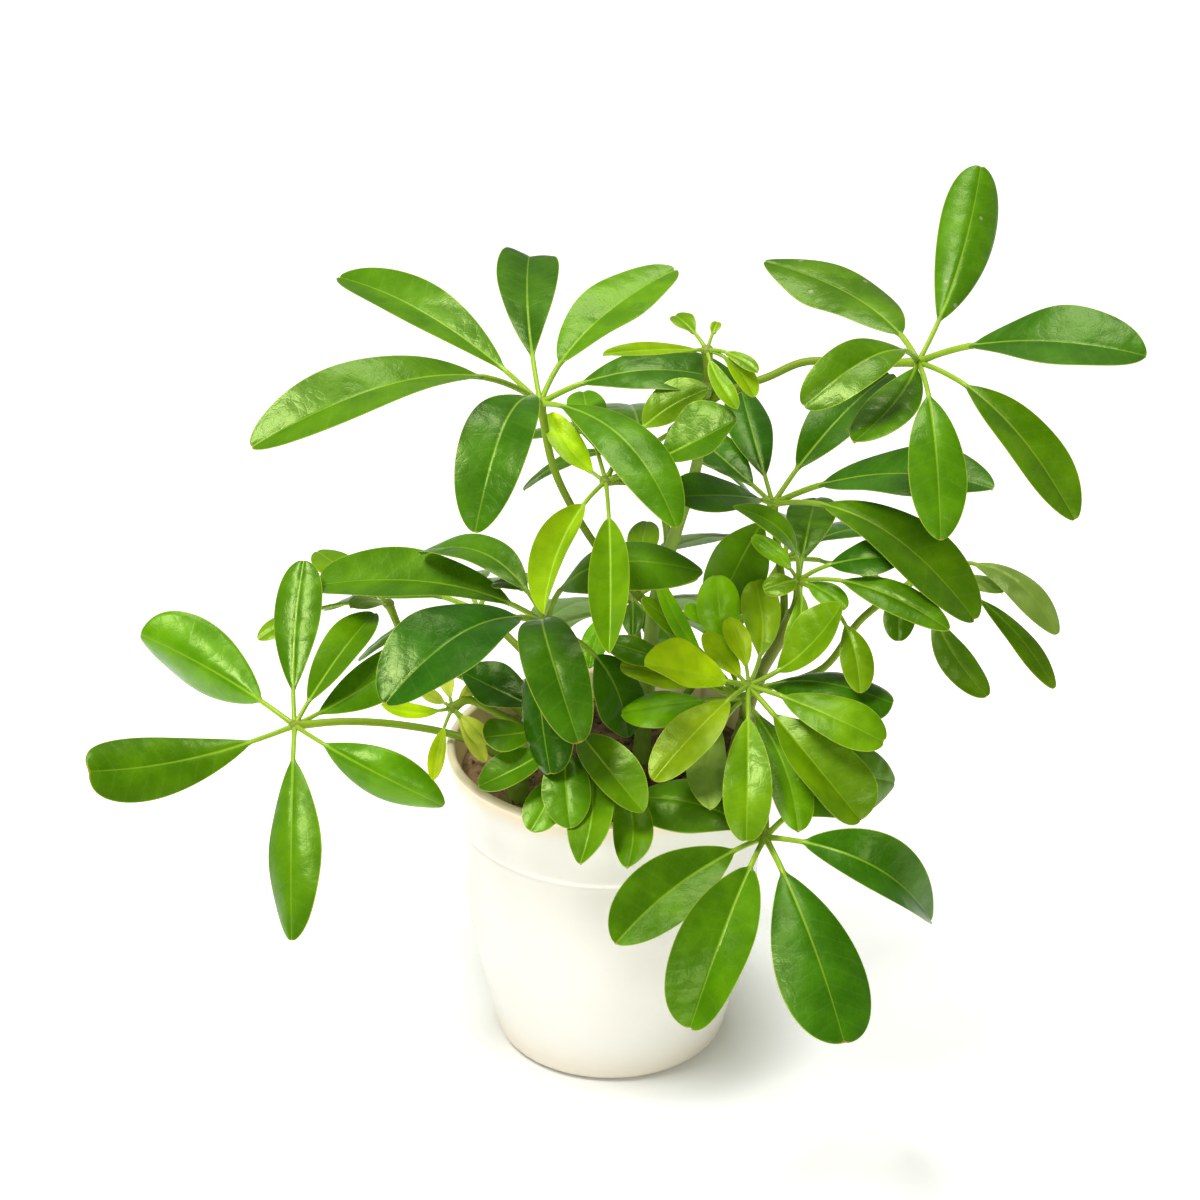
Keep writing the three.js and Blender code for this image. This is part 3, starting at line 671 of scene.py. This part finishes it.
compound_leaf(
    "leaf_far_right", None, (0.2, -0.3, 1),
    [(34, 19, 92), (36, 21, 112), (44, 25, 122), (56, 31, 125),
     (79, 40, 129), (94, 45, 148), (117, 50, 164)],
    ((44, -45, -25), 24, 11, 8, -1, "fresh"),
    ((44, -43, -4), 19, 15, 13, -3, "grey"),
    ((26, -24, 4), 16, 10, 3, 0, "grey"),
    ((19, -51, -25), 21, 15, 1, 6, "olive"),
    ((-12, -31, -13), 13, 12, 4, 4, "mid"),
)
print("compound leaves so far:", len(LEAVES))

# %% Small leaves at the crown
compound_leaf(
    "leaf_young_top", "stem_main", (0, -0.6, 1),
    [(27, 6, 214), (22, 3, 219), (8, -3, 225), (-2, -13, 230)],
    ((-20, 37, 10), 9, 11, -4, -1, "lemon"),
    ((-21, -53, -25), 14, 14, 4, 4, "lime",
     {"twist": -34, "blunt": 0.78, "dish": 0.5, "fold": 0.5}),
    ((1, -68, -32), 19, 14, 5, -1, "fresh",
     {"twist": -12, "blunt": 0.69, "dish": 0.4, "fold": 0.55}),
    ((36, 16, 28), 22, 17, 0, -6, "fresh", {"twist": 20, "blunt": 0.75, "dish": 0.15}),
    ((45, -1, 24), 21, 25, 0, 1, "mid", {"twist": 19, "dish": 0.2}),
    ((-8, 47, 14), 14, 14, 4, -1, "olive"),
)
compound_leaf(
    "leaf_tip", "stem_main", (0, -0.4, 1),
    [(34, 6, 260), (33.5, 6, 266), (33, 6, 271)],
    ((-11, 18, 6), 8, 8, 2, 0, "fresh"),
    ((4, 12, 6), 7, 4, 1, 0, "lime"),
    ((17, -17, -1), 9, 6, 3, 0, "fresh"),
    ((16, -18, -10), 8, 8, 4, -1, "lime"),
    ((10, -23, -12), 5, 7, 2, 2, "fresh"),
    ((-36, -20, 7), 4, 7, 2, -1, "lime"),
)
print("compound leaves so far:", len(LEAVES))

# %% Leaves on the left
compound_leaf(
    "leaf_left", "stem_left", (-0.1, -0.35, 1),
    [(-23, -11, 163), (-23, -12, 168), (-23, -12, 174)],
    ((-85, 54, -11), 18, 26, 0, 11, "mid", {"blunt": 0.34, "dish": 0.35}),
    ((-54, -58, -1), 14, 33, 15, 0, "dark", {"dish": 0.2}),
    ((-47, 48, 5), 12, 18, 10, 7, "mid", {"twist": -16, "blunt": 0.67, "dish": 0.25}),
    ((-20, 27, 3), 16, 8, 5, 3, "mid"),
    ((12, -69, -10), 5, 22, 20, 3, "deep", {"twist": 14, "blunt": 0.46, "dish": 0.1}),
    ((2, -59, -28), 19, 18, 14, 2, "dark", {"twist": -26, "blunt": 0.4, "dish": -0.45}),
    ((55, -13, 27), 14, 25, 22, 4, "mid", {"blunt": 0.68, "dish": -0.15}),
    ((29, -7, -42), 20, 22, 2, -8, "deep", {"blunt": 0.66}),
)
# Partly painted light: the pale tints are the young shoot's own light colour, made lighter still
# because the shoot lies in shade.
compound_leaf(
    "leaf_shoot", "stem_left", (0, -0.8, 0.8),
    [(-31, -19, 131), (-33, -23, 140), (-40, -25, 145), (-50, -26, 151), (-56, -28, 149)],
    ((-4, 16, 8), 4, 6, 1, 0, "pale"),
    ((9, 11, 4), 3, 5, 1, 0, "pale"),
    ((-11, -4, 9), 4, 5, 1, 0, "pale"),
    ((-24, -12, 8), 5, 6, 0, -2, "lemon"),
    ((-6, -25, -15), 9, 6, 2, 1, "lemon"),
    ((13, -12, -8), 5, 7, 2, 0, "pale"),
    ((12, -16, -13), 5, 6, 2, 0, "pale"),
)
compound_leaf(
    "leaf_far_left", None, (0, -0.3, 1),
    [(-28, 22, 92), (-30, 24, 112), (-40, 31, 122), (-56, 40, 126), (-74, 49, 131), (-83, 52, 150)],
    ((-13, -16, 7), 3, 9, 2, 0, "grey"),
    ((-47, -23, -3), 28, 10, 6, 1, "fresh"),
    ((-30, 42, 2), 13, 14, 2, -1, "fresh"),
)
compound_leaf(
    "leaf_over_rim", "stem_left", (0, -0.4, 1),
    [(-31, -20, 131), (-26, -27, 138), (-20, -34, 144), (-14, -38, 149)],
    ((-39, 19, 10), 17, 22, -4, 2, "dark", {"twist": -19, "blunt": 0.62, "dish": 0.2}),
    ((-30, -22, 6), 20, 16, 2, -3, "mid", {"blunt": 0.5, "dish": 0.15}),
    ((-32, -28, -10), 20, 15, 7, -8, "mid", {"twist": -10, "blunt": 0.65, "dish": 0.3}),
    ((-14, -40, -21), 22, 14, 2, -3, "olive"),
    ((0, -45, -17), 16, 17, 6, 2, "mid"),
    ((3, -56, -25), 24, 16, 3, -6, "olive", {"twist": -21, "blunt": 0.81, "dish": 0.3}),
    ((19, -54, -27), 25, 14, -4, -10, "olive", {"twist": -8, "blunt": 0.67}),
    ((25, -39, -14), 12, 18, 9, 4, "olive", {"twist": 6, "blunt": 0.65, "dish": 0.4}),
)
print("compound leaves so far:", len(LEAVES))

# %% Leaves in the middle and at the back
compound_leaf(
    "leaf_middle", "stem_main", (0, -0.3, 1),
    [(13, 7, 135), (12, 18, 139), (10, 32, 146), (8, 42, 157)],
    ((24, 18, 3), 7, 12, 3, 1, "lime"),
    ((0, -26, -2), 5, 8, 3, 0, "mid"),
    ((18, -35, -3), 10, 14, 2, 1, "olive"),
    ((-16, -32, -12), 12, 10, 4, 3, "bright"),
    ((6, 47, 10), 14, 12, 3, 0, "fresh"),
)
compound_leaf(
    "leaf_back_top", "stem_main", (0, 0.15, 1),
    [(20, 7, 190), (20, 22, 195), (17, 46, 200), (12, 70, 204)],
    ((-6, 71, -13), 14, 26, 8, 0, "mid"),
    ((42, 51, -16), 14, 24, 8, 0, "mid"),
    ((41, 6, -20), 9, 20, 6, 0, "deep"),
    ((-52, 44, -15), 14, 25, 8, 0, "mid"),
    ((-45, 2, -16), 10, 20, 6, 0, "mid"),
)
compound_leaf(
    "leaf_back_right", None, (0.2, 0.3, 1),
    [(22, 32, 92), (24, 34, 112), (34, 45, 124), (52, 62, 142), (66, 74, 158)],
    ((2, 68, -15), 14, 24, 8, 0, "mid"),
    ((54, 46, -13), 14, 25, 8, 0, "deep"),
    ((55, -5, -22), 12, 22, 7, 0, "mid"),
    ((-45, 45, -18), 13, 24, 8, 0, "mid"),
)
compound_leaf(
    "leaf_back_left", None, (-0.2, 0.3, 1),
    [(-16, 32, 92), (-17, 34, 112), (-26, 44, 125), (-39, 57, 134), (-50, 66, 140)],
    ((-12, 67, -22), 14, 25, 8, 0, "mid"),
    ((-61, 38, -18), 15, 25, 8, 0, "deep"),
    ((-46, -8, -17), 10, 20, 6, 0, "mid"),
    ((16, 56, -16), 13, 23, 7, 0, "mid"),
)
compound_leaf(
    "leaf_back_low", None, (0, 0.6, 0.8),
    [(6, 34, 92), (6, 37, 112), (7, 46, 123), (8, 62, 130), (8, 76, 134)],
    ((0, 68, -25), 14, 28, 9, 0, "deep"),
    ((41, 45, -25), 13, 25, 8, 0, "mid"),
    ((-36, 44, -27), 14, 25, 8, 0, "mid"),
    ((44, 9, -21), 10, 22, 6, 0, "deep"),
    ((-43, 8, -20), 10, 22, 6, 0, "mid"),
)
leaflet_count = sum(len(leaf["leaflets"]) for leaf in LEAVES.values())
print("compound leaves:", len(LEAVES), "leaflets:", leaflet_count)

# %% [markdown]
# ## Stalks and stems
# A stalk is a round rod along a smooth curve. The curve is a Catmull-Rom spline, a cubic between
# each two neighbours that leaves every point in the direction of the points beside it. The rings
# stand square to it, turned by the world axis that the curve never runs along, so they don't
# twist. A real stalk clasps its stem with a thicker foot and swells again under the hub.


# %% Rods
def spline(points, count):
    """Catmull-Rom: half of (2b + (c-a)t + (2a-5b+4c-d)t² + (3b-a-3c+d)t³) between b and c."""
    p = np.asarray(points, float)
    p = np.concatenate([[2 * p[0] - p[1]], p, [2 * p[-1] - p[-2]]])
    t = np.linspace(0, len(points) - 1, count)
    i = np.minimum(t.astype(int), len(points) - 2)
    a, b, c, d, t = p[i], p[i + 1], p[i + 2], p[i + 3], (t - i)[:, None]
    bend, turn = 2 * a - 5 * b + 4 * c - d, 3 * b - a - 3 * c + d
    return 0.5 * (2 * b + (c - a) * t + bend * t**2 + turn * t**3)


def rod(path, radius, sides=12):
    """Rings round a path: centre + r (cos a · side + sin a · up)."""
    tangent = unit(np.gradient(path, axis=0))
    steady = np.eye(3)[np.abs(tangent).max(axis=0).argmin()]
    side = unit(np.cross(tangent, steady))
    up = np.cross(side, tangent)
    turn = np.linspace(0, 2 * np.pi, sides, endpoint=False)[None, :, None]
    spread = np.cos(turn) * side[:, None] + np.sin(turn) * up[:, None]
    return path[:, None] + np.broadcast_to(radius, len(path))[:, None, None] * spread


def travelled(path):
    """The length walked along a path up to each of its points."""
    return np.concatenate([[0], np.cumsum(np.linalg.norm(np.diff(path, axis=0), axis=1))])


print("main stem:", round(travelled(spline(STEMS["stem_main"]["points"], 140))[-1]), "mm long")

# %% Stalks and stems
STALK_RADIUS = 1.4
FIRST_SCAR, SCAR_GAP = 30, 17
LEAF_SCAR, OLD_SCAR = 0.5, 0.22


def stalk_rings(points):
    """A leaf stalk: r (1 + 0.8 e^-(way/4) + 0.45 e^-(way left/3)), so a thick foot, a slim middle
    and a swelling under the hub."""
    path = spline(points, 8 * len(points))
    walked = travelled(path)
    left = walked[-1] - walked
    radius = STALK_RADIUS * (1 + 0.8 * np.exp(-walked / 4) + 0.45 * np.exp(-left / 3))
    return rod(path, radius), walked / walked[-1]


def stem_rings(name):
    """A stem that tapers evenly, with a bell-shaped ring where each of its leaves springs from it
    and fainter rings where old leaves fell, and a rounded tip."""
    points, (foot, tip) = STEMS[name]["points"], STEMS[name]["radii"]
    path = spline(points, 140)
    walked = travelled(path)
    radius = foot + (tip - foot) * walked / walked[-1]
    for leaf in LEAVES.values():
        if leaf["on"] == name:
            nearest = np.linalg.norm(path - np.array(leaf["stalk"][0]), axis=1).argmin()
            radius = radius + LEAF_SCAR * bell(walked, walked[nearest], 1.6)
    for scar in np.arange(FIRST_SCAR, walked[-1] - 8, SCAR_GAP):
        radius = radius + OLD_SCAR * bell(walked, scar, 0.9)
    radius = radius * (1 - 0.75 * bell(walked, walked[-1], 1.2))
    return rod(path, radius, 20), walked / walked[-1]


for name in STEMS:
    print(name, "rings × points:", stem_rings(name)[0].shape[:2])

# %% [markdown]
# ## The leaflet
# A leaflet is one skin from the hub to its tip. Its sections start round, as the leaflet's own
# stalk, and flatten into the blade, whose half-width by the way along is a straight taper, fullest
# past the middle, with a blunt and slightly notched tip. Seen end on, the blade folds up a little
# along its rib and each half then arches over, like a gull's wings. Its margin waves a little,
# its side veins quilt it, and below runs the thick rib. A flat card with a picture of a leaf
# would be quicker, but it has no edge, no fold for the light to catch and no underside.

# %% Leaflet outline and middle line
TAPER = 0.9


def outline(v, blunt):
    """Half-width by the way along the blade: v^0.9 (1 - v)^b, scaled to 1 at its widest. The smaller
    b is, the blunter the tip and the further out the widest place."""
    widest = TAPER / (TAPER + blunt)
    return v**TAPER * (1 - v) ** blunt / (widest**TAPER * (1 - widest) ** blunt)


def centre_line(hub, facing, tip, bow, bend, u, curl):
    """Places, tangents, sides and normals along hub + tip·u + (up·bow + across·bend)·4u(1-u), with
    the last part rolled back by `curl` degrees: each step of the path is turned, then all are
    added up again."""
    reach = np.array(tip, float)
    along = unit(reach)
    up = unit(facing - (facing @ along) * along)
    across = np.cross(along, up)
    lift = up * bow + across * bend
    u = u[:, None]
    path = hub + reach * u + lift * 4 * u * (1 - u)
    tangent = unit(reach + lift * 4 * (1 - 2 * u))
    normal = unit(np.cross(across, tangent))
    if curl:
        turn = np.radians(curl) * smooth(u, 0.88, 1.0)
        tangent, normal = (
            tangent * np.cos(turn) - normal * np.sin(turn),
            normal * np.cos(turn) + tangent * np.sin(turn),
        )
        steps = np.linalg.norm(np.diff(path, axis=0), axis=1)[:, None]
        middles = (tangent[1:] + tangent[:-1]) / 2
        path = path[0] + np.concatenate([[[0, 0, 0]], np.cumsum(middles * steps, axis=0)])
    return path, tangent, np.cross(tangent, normal), normal


print("a blade of bluntness 0.58 is widest at", round(TAPER / (TAPER + 0.58), 2), "of its length")

# %% Leaflet surface
ACROSS, BLADE_ROWS, STALK_ROWS = 19, 42, 6
EDGE_THICKNESS, MID_THICKNESS = 0.22, 0.6
LEAST_HALF = 0.12
RIB_GROOVE = 0.28
VEIN_GAP, VEIN_SLOPE, QUILT = 6.5, 0.45, 0.1
WAVES = 1.6
TIP_END = 0.9993


def leaflet(hub, facing, row, curl=0.0, fold=0.2, arch=0.22, twist=0.0, dish=0.0, wave=0.05,
            blunt=0.58, notch=0.5):
    """The rings of one leaflet and the values at their points. Across a blade, from -1 to 1 in s:
    height = half·(fold·(√(s² + 0.01) - 0.1) - arch·s² + dish·|s|^1.5 + wave·s²·sin) - rib groove."""
    tip, stalk, width, bow, bend = row
    length = np.linalg.norm(tip)
    base = stalk / length
    way = (1 - np.cos(np.linspace(0, np.pi, BLADE_ROWS))) / 2 * TIP_END
    v = np.concatenate([np.zeros(STALK_ROWS), way])
    u = np.concatenate([base * np.arange(STALK_ROWS) / STALK_ROWS, base + (1 - base) * way])
    path, tangent, side, normal = centre_line(hub, facing, tip, bow, bend, u, curl)

    t = np.linspace(-1, 1, ACROSS)
    s = (np.sign(t) * np.abs(t) ** 1.2)[None, :]
    v, u = v[:, None], u[:, None]
    half = np.maximum(width / 2 * outline(v, blunt), LEAST_HALF)
    x = half * s
    phase = draw.uniform(0, 2 * np.pi)
    waving = wave * s**2 * np.sin(2 * np.pi * WAVES * v + phase + 1.3 * np.sign(s))
    vein = (v * (length - stalk) - VEIN_SLOPE * np.abs(x)) / VEIN_GAP
    quilt = QUILT * np.cos(2 * np.pi * vein) * np.abs(s) * (1 - np.abs(s)) * 4 * smooth(half, 2, 8)
    gull = fold * (np.sqrt(s**2 + 0.01) - 0.1) - arch * s**2 + dish * np.abs(s) ** 1.5 + waving
    rib_radius = 0.85 - 0.6 * v
    high = half * gull + quilt - RIB_GROOVE * smooth(v, 0.02, 0.2) * bell(x, 0, 0.8)
    thick = EDGE_THICKNESS + (MID_THICKNESS - EDGE_THICKNESS) * (1 - s**2)
    keel = rib_radius * np.sqrt(np.clip(1 - (x / (rib_radius + 0.5)) ** 2, 0, 1))
    low = high - thick - keel

    flat = smooth(v, -0.02, 0.07)
    angle = t[None, :] * np.pi / 2 * 0.94
    radius = (0.5 + 0.022 * width) * (1 + 0.4 * np.exp(-u * length / 2.5))
    top_x, top_z = radius * np.sin(angle), radius * np.cos(angle)
    upper = ((1 - flat) * top_x + flat * x, (1 - flat) * top_z + flat * high)
    lower = ((1 - flat) * top_x + flat * x, -(1 - flat) * top_z + flat * low)
    dip = notch * smooth(v, 0.9, 1.0) * bell(x, 0, 0.9) * min(width / 20, 1)

    swing = np.radians(twist) * v
    side, normal = (
        side * np.cos(swing) + normal * np.sin(swing),
        normal * np.cos(swing) - side * np.sin(swing),
    )
    middle = path[:, None] - tangent[:, None] * dip[..., None]
    skin = [
        middle + side[:, None] * px[..., None] + normal[:, None] * pz[..., None]
        for px, pz in (upper, lower)
    ]
    rings = np.concatenate([skin[0], skin[1][:, ::-1]], axis=1)
    margin = np.minimum(half * (1 - np.abs(s)), (1 - v) * (length - stalk) * 0.8)
    values = {
        "along": v + 0 * s,
        "rib": np.abs(x),
        "edge": margin * flat + (1 - flat) * 3,
        "vein": vein,
    }
    both = {name: np.concatenate([grid, grid[:, ::-1]], axis=1) for name, grid in values.items()}
    both["upper"] = np.repeat([1.0, 0.0], ACROSS)
    return rings, both


print("points on a leaflet:", (STALK_ROWS + BLADE_ROWS) * 2 * ACROSS)

# %% [markdown]
# ### Green
# Each leaflet brings its own tint: deep green when old, yellow-green when young. The lemon, bright
# and pale tints are partly young leaflets' own colour and partly painted light: leaflets that lie
# in shade, at the front and on the shoot, get them lighter than their own green. Leaflets in the
# shade behind get a greyer tint: painted shade. Over the tint lie soft clouds, a pale yellow-green
# rib, thin side veins, a fine light line along the margin and a tan mark at the tip. The skin is
# waxy: it mirrors the lamps broadly, in a faintly green-yellow tone, because part of the sheen
# comes from under the wax. Low broad bumps, a leathery grain and a faint net of cells break the
# mirror up. The underside is paler and dull.

# %% Leaf tones
# Painted light: lemon, bright and pale go, lighter than their own green, to leaflets in shade. Painted
# shade: grey goes to leaflets in the shade behind.
TONES = {
    "dark": "#2c6600",
    "deep": "#3c7200",
    "mid": "#568700",
    "olive": "#659a00",
    "fresh": "#74a000",
    "bright": "#98dc00",
    "lime": "#97b806",
    "lemon": "#d0ee0a",
    "pale": "#f0f658",
    "grey": "#a4bf58",
}
print("tones:", ", ".join(TONES))

# %% Blade finish
CLOUDS, LEATHER, NET, FLECKS = 70, 420, 380, 100  # how many of each lie along a metre
blade = Finish("waxy leaf", specular_ior_level=0.46, specular_tint="#e6ff9c")
tint = blade.colour("tint")
rib, edge, vein = blade.value("rib"), blade.value("edge"), blade.value("vein")
upper, along, spots = blade.value("upper"), blade.value("along"), blade.value("spots")
patches = blade.noise(CLOUDS, 3)
shaded = blade.mix(patches.ramp(0.3, 0.75), blade.mix(1.0, tint, "#c4d2b4", "MULTIPLY"), tint)
near_vein = ((vein + patches * 0.35).wrapped() - 0.5).size().ramp(0.1, 0.0)
veined = blade.mix(near_vein * 0.02, shaded, "#c6dd7c")
net = blade.cells(NET).ramp(0.0, 0.16)
netted = blade.mix((1.0 - net) * 0.012, veined, "#b8d860")
rib_width = 0.5 - along * 0.32
on_rib = (rib / rib_width).ramp(1.3, 0.6)
ribbed = blade.mix(on_rib * (0.5 - along * 0.3), netted, "#a9cc3a")
lined = blade.mix(edge.ramp(0.34, 0.1) * 0.5, ribbed, "#b9c93e")
at_tip = edge.ramp(0.7, 0.1) * along.ramp(0.988, 0.998)
tipped = blade.mix(at_tip * 0.6, lined, "#9a7a2c")
flecks = blade.cells(FLECKS, "F1").ramp(0.11, 0.07) * spots
flecked = blade.mix(flecks * 0.7, tipped, "#9a9a78")
below = blade.mix(0.2, flecked, "#a9c47c")
bumps = blade.noise(CLOUDS) * 3.0 + blade.noise(LEATHER, 3) * 0.26
relief = net * 0.045 + bumps - near_vein * 0.03
blade.shade(
    base_color=blade.mix(upper, below, flecked),
    roughness=(1.0 - upper) * 0.25 + patches * 0.24 + 0.2,
    normal=blade.bump(relief, 0.4 * MM),
)
print("finish:", blade.material.name, "of", len(blade.tree.nodes), "nodes")

# %% Stalk finish
twig = Finish("green stalk", specular_ior_level=0.3, specular_tint="#f0ffb0")
streaks = twig.noise(260, 3)
twig.shade(
    base_color=twig.mix(streaks.ramp(0.45, 0.75) * 0.35, twig.colour("tint"), "#8c7a3c"),
    roughness=streaks * 0.3 + 0.3,
    normal=twig.bump(streaks, 0.2 * MM),
)
print("finish:", twig.material.name, "of", len(twig.tree.nodes), "nodes")

# %% [markdown]
# ## The compound leaves
# Each piece is grown as the real one is: the stalk, a knob where it ends, and the leaflets that
# spread from the knob. All draws come from one seeded generator, so the plant grows the same
# way each time. Young leaves fold up more along the rib, and old ones arch over.

# %% Habits
OLD_HABIT = {"fold": (0.12, 0.24), "arch": (0.16, 0.28)}
YOUNG_HABIT = {"fold": (0.22, 0.34), "arch": (0.1, 0.18)}
ANY_HABIT = {"twist": (-3, 3), "wave": (0.02, 0.07), "notch": (0.0, 0.8)}
TINT_SHIFT = np.array((0.042, 0.07, 0.042))
draw = np.random.default_rng(23)


def drawn_habit(young):
    """One number for each habit, drawn evenly between its limits."""
    limits = {**(YOUNG_HABIT if young else OLD_HABIT), **ANY_HABIT}
    return {habit: draw.uniform(*span) for habit, span in limits.items()}


def shifted(colour):
    """A tint whose red, green and blue are each a little lighter or darker, at random."""
    return np.array(colour) * np.append(1 + draw.uniform(-1, 1, 3) * TINT_SHIFT, 1)


print("habits:", ", ".join({**OLD_HABIT, **ANY_HABIT}))

# %% Growing a compound leaf
HUB_RADIUS = 2.3
STALK_TINT = linear("#86a422")
STALK_FOOT_TINT = linear("#64801a")
KNOB_TINT = linear("#7d8f3a")


def knob(hub, radius):
    """A slightly flattened ball as a rod whose radius follows a half circle."""
    rise = np.linspace(-0.98, 0.98, 9)
    path = hub + np.stack([0 * rise, 0 * rise, rise * radius * 0.85], axis=-1)
    return rod(path, radius * np.sqrt(1 - rise**2), 14)


def grow(name, plan):
    """One compound leaf as a piece that replaces its CAD node."""
    piece = Piece(name.replace("leaf_", "") + "_leaf")
    slot = next(part["material_slot"] for part in frame["record"]["subparts"] if part["node"] == name)
    facing = unit(np.array(plan["facing"], float))
    hub = np.array(plan["stalk"][-1], float)
    rings, along = stalk_rings(plan["stalk"])
    share = along[:, None, None]
    piece.add(rings, 1, (1 - share) * STALK_FOOT_TINT + share * STALK_TINT, along=along[:, None])
    piece.add(knob(hub, HUB_RADIUS), 1, KNOB_TINT)
    for tip, stalk, width, bow, bend, tone, *special in plan["leaflets"]:
        habit = {**drawn_habit(slot == "leaf_young"), **(special[0] if special else {})}
        spots = habit.pop("spots", 0.0)
        rings, values = leaflet(hub, facing, (tip, stalk, width, bow, bend), **habit)
        green = shifted(linear(TONES[tone]))
        start = smooth(values["along"], 0.0, 0.06)[..., None]
        tints = (1 - start) * STALK_TINT + start * green
        piece.add(rings, 0, tints, spots=spots, **values)
    piece.build([blade.material, twig.material], slot, name)
    return len(piece.faces)


faces = sum(grow(name, plan) for name, plan in LEAVES.items())
print("compound leaves:", len(LEAVES), "with", faces, "faces")

# %% Growing the stems
STEM_TINTS = {  # at the foot and at the tip
    "stem_main": ("#7f9a3c", "#93b24a"),
    "stem_right": ("#7a7a3e", "#8f9a48"),
    "stem_left": ("#93b04e", "#8aa544"),
}
for name, (foot, tip) in STEM_TINTS.items():
    rings, along = stem_rings(name)
    share = along[:, None, None]
    stem = Piece(name.replace("stem_", "") + "_stem")
    stem.add(rings, 0, (1 - share) * linear(foot) + share * linear(tip), along=along[:, None])
    stem.build([twig.material], "stem", name)
print("stems:", list(STEM_TINTS))

# %% [markdown]
# ## Floor finish
# The floor is plain and pale. It glows a little, like a lit table, but not under the pot, so that
# the pot still casts its soft shadow there and the picture is white all round.

# %% Floor and finish
GLOW_REACH = (0.0006, 0.0074)  # the squares of 24 mm and of 86 mm, in square metres
table_top = Finish("white table", base_color="#f2f2f0", emission_strength=0.55)
x, y, _ = table_top.split(table_top.place())
table_top.shade(
    roughness=table_top.noise(60, 4) * 0.1 + 0.55,
    # Painted light: the floor glows everywhere but close round the pot, where the pot's shadow stays.
    emission_color=table_top.mix((x * x + y * y).ramp(*GLOW_REACH), "#000000", "#ffffff"),
)
floor.data.materials.append(table_top.material)
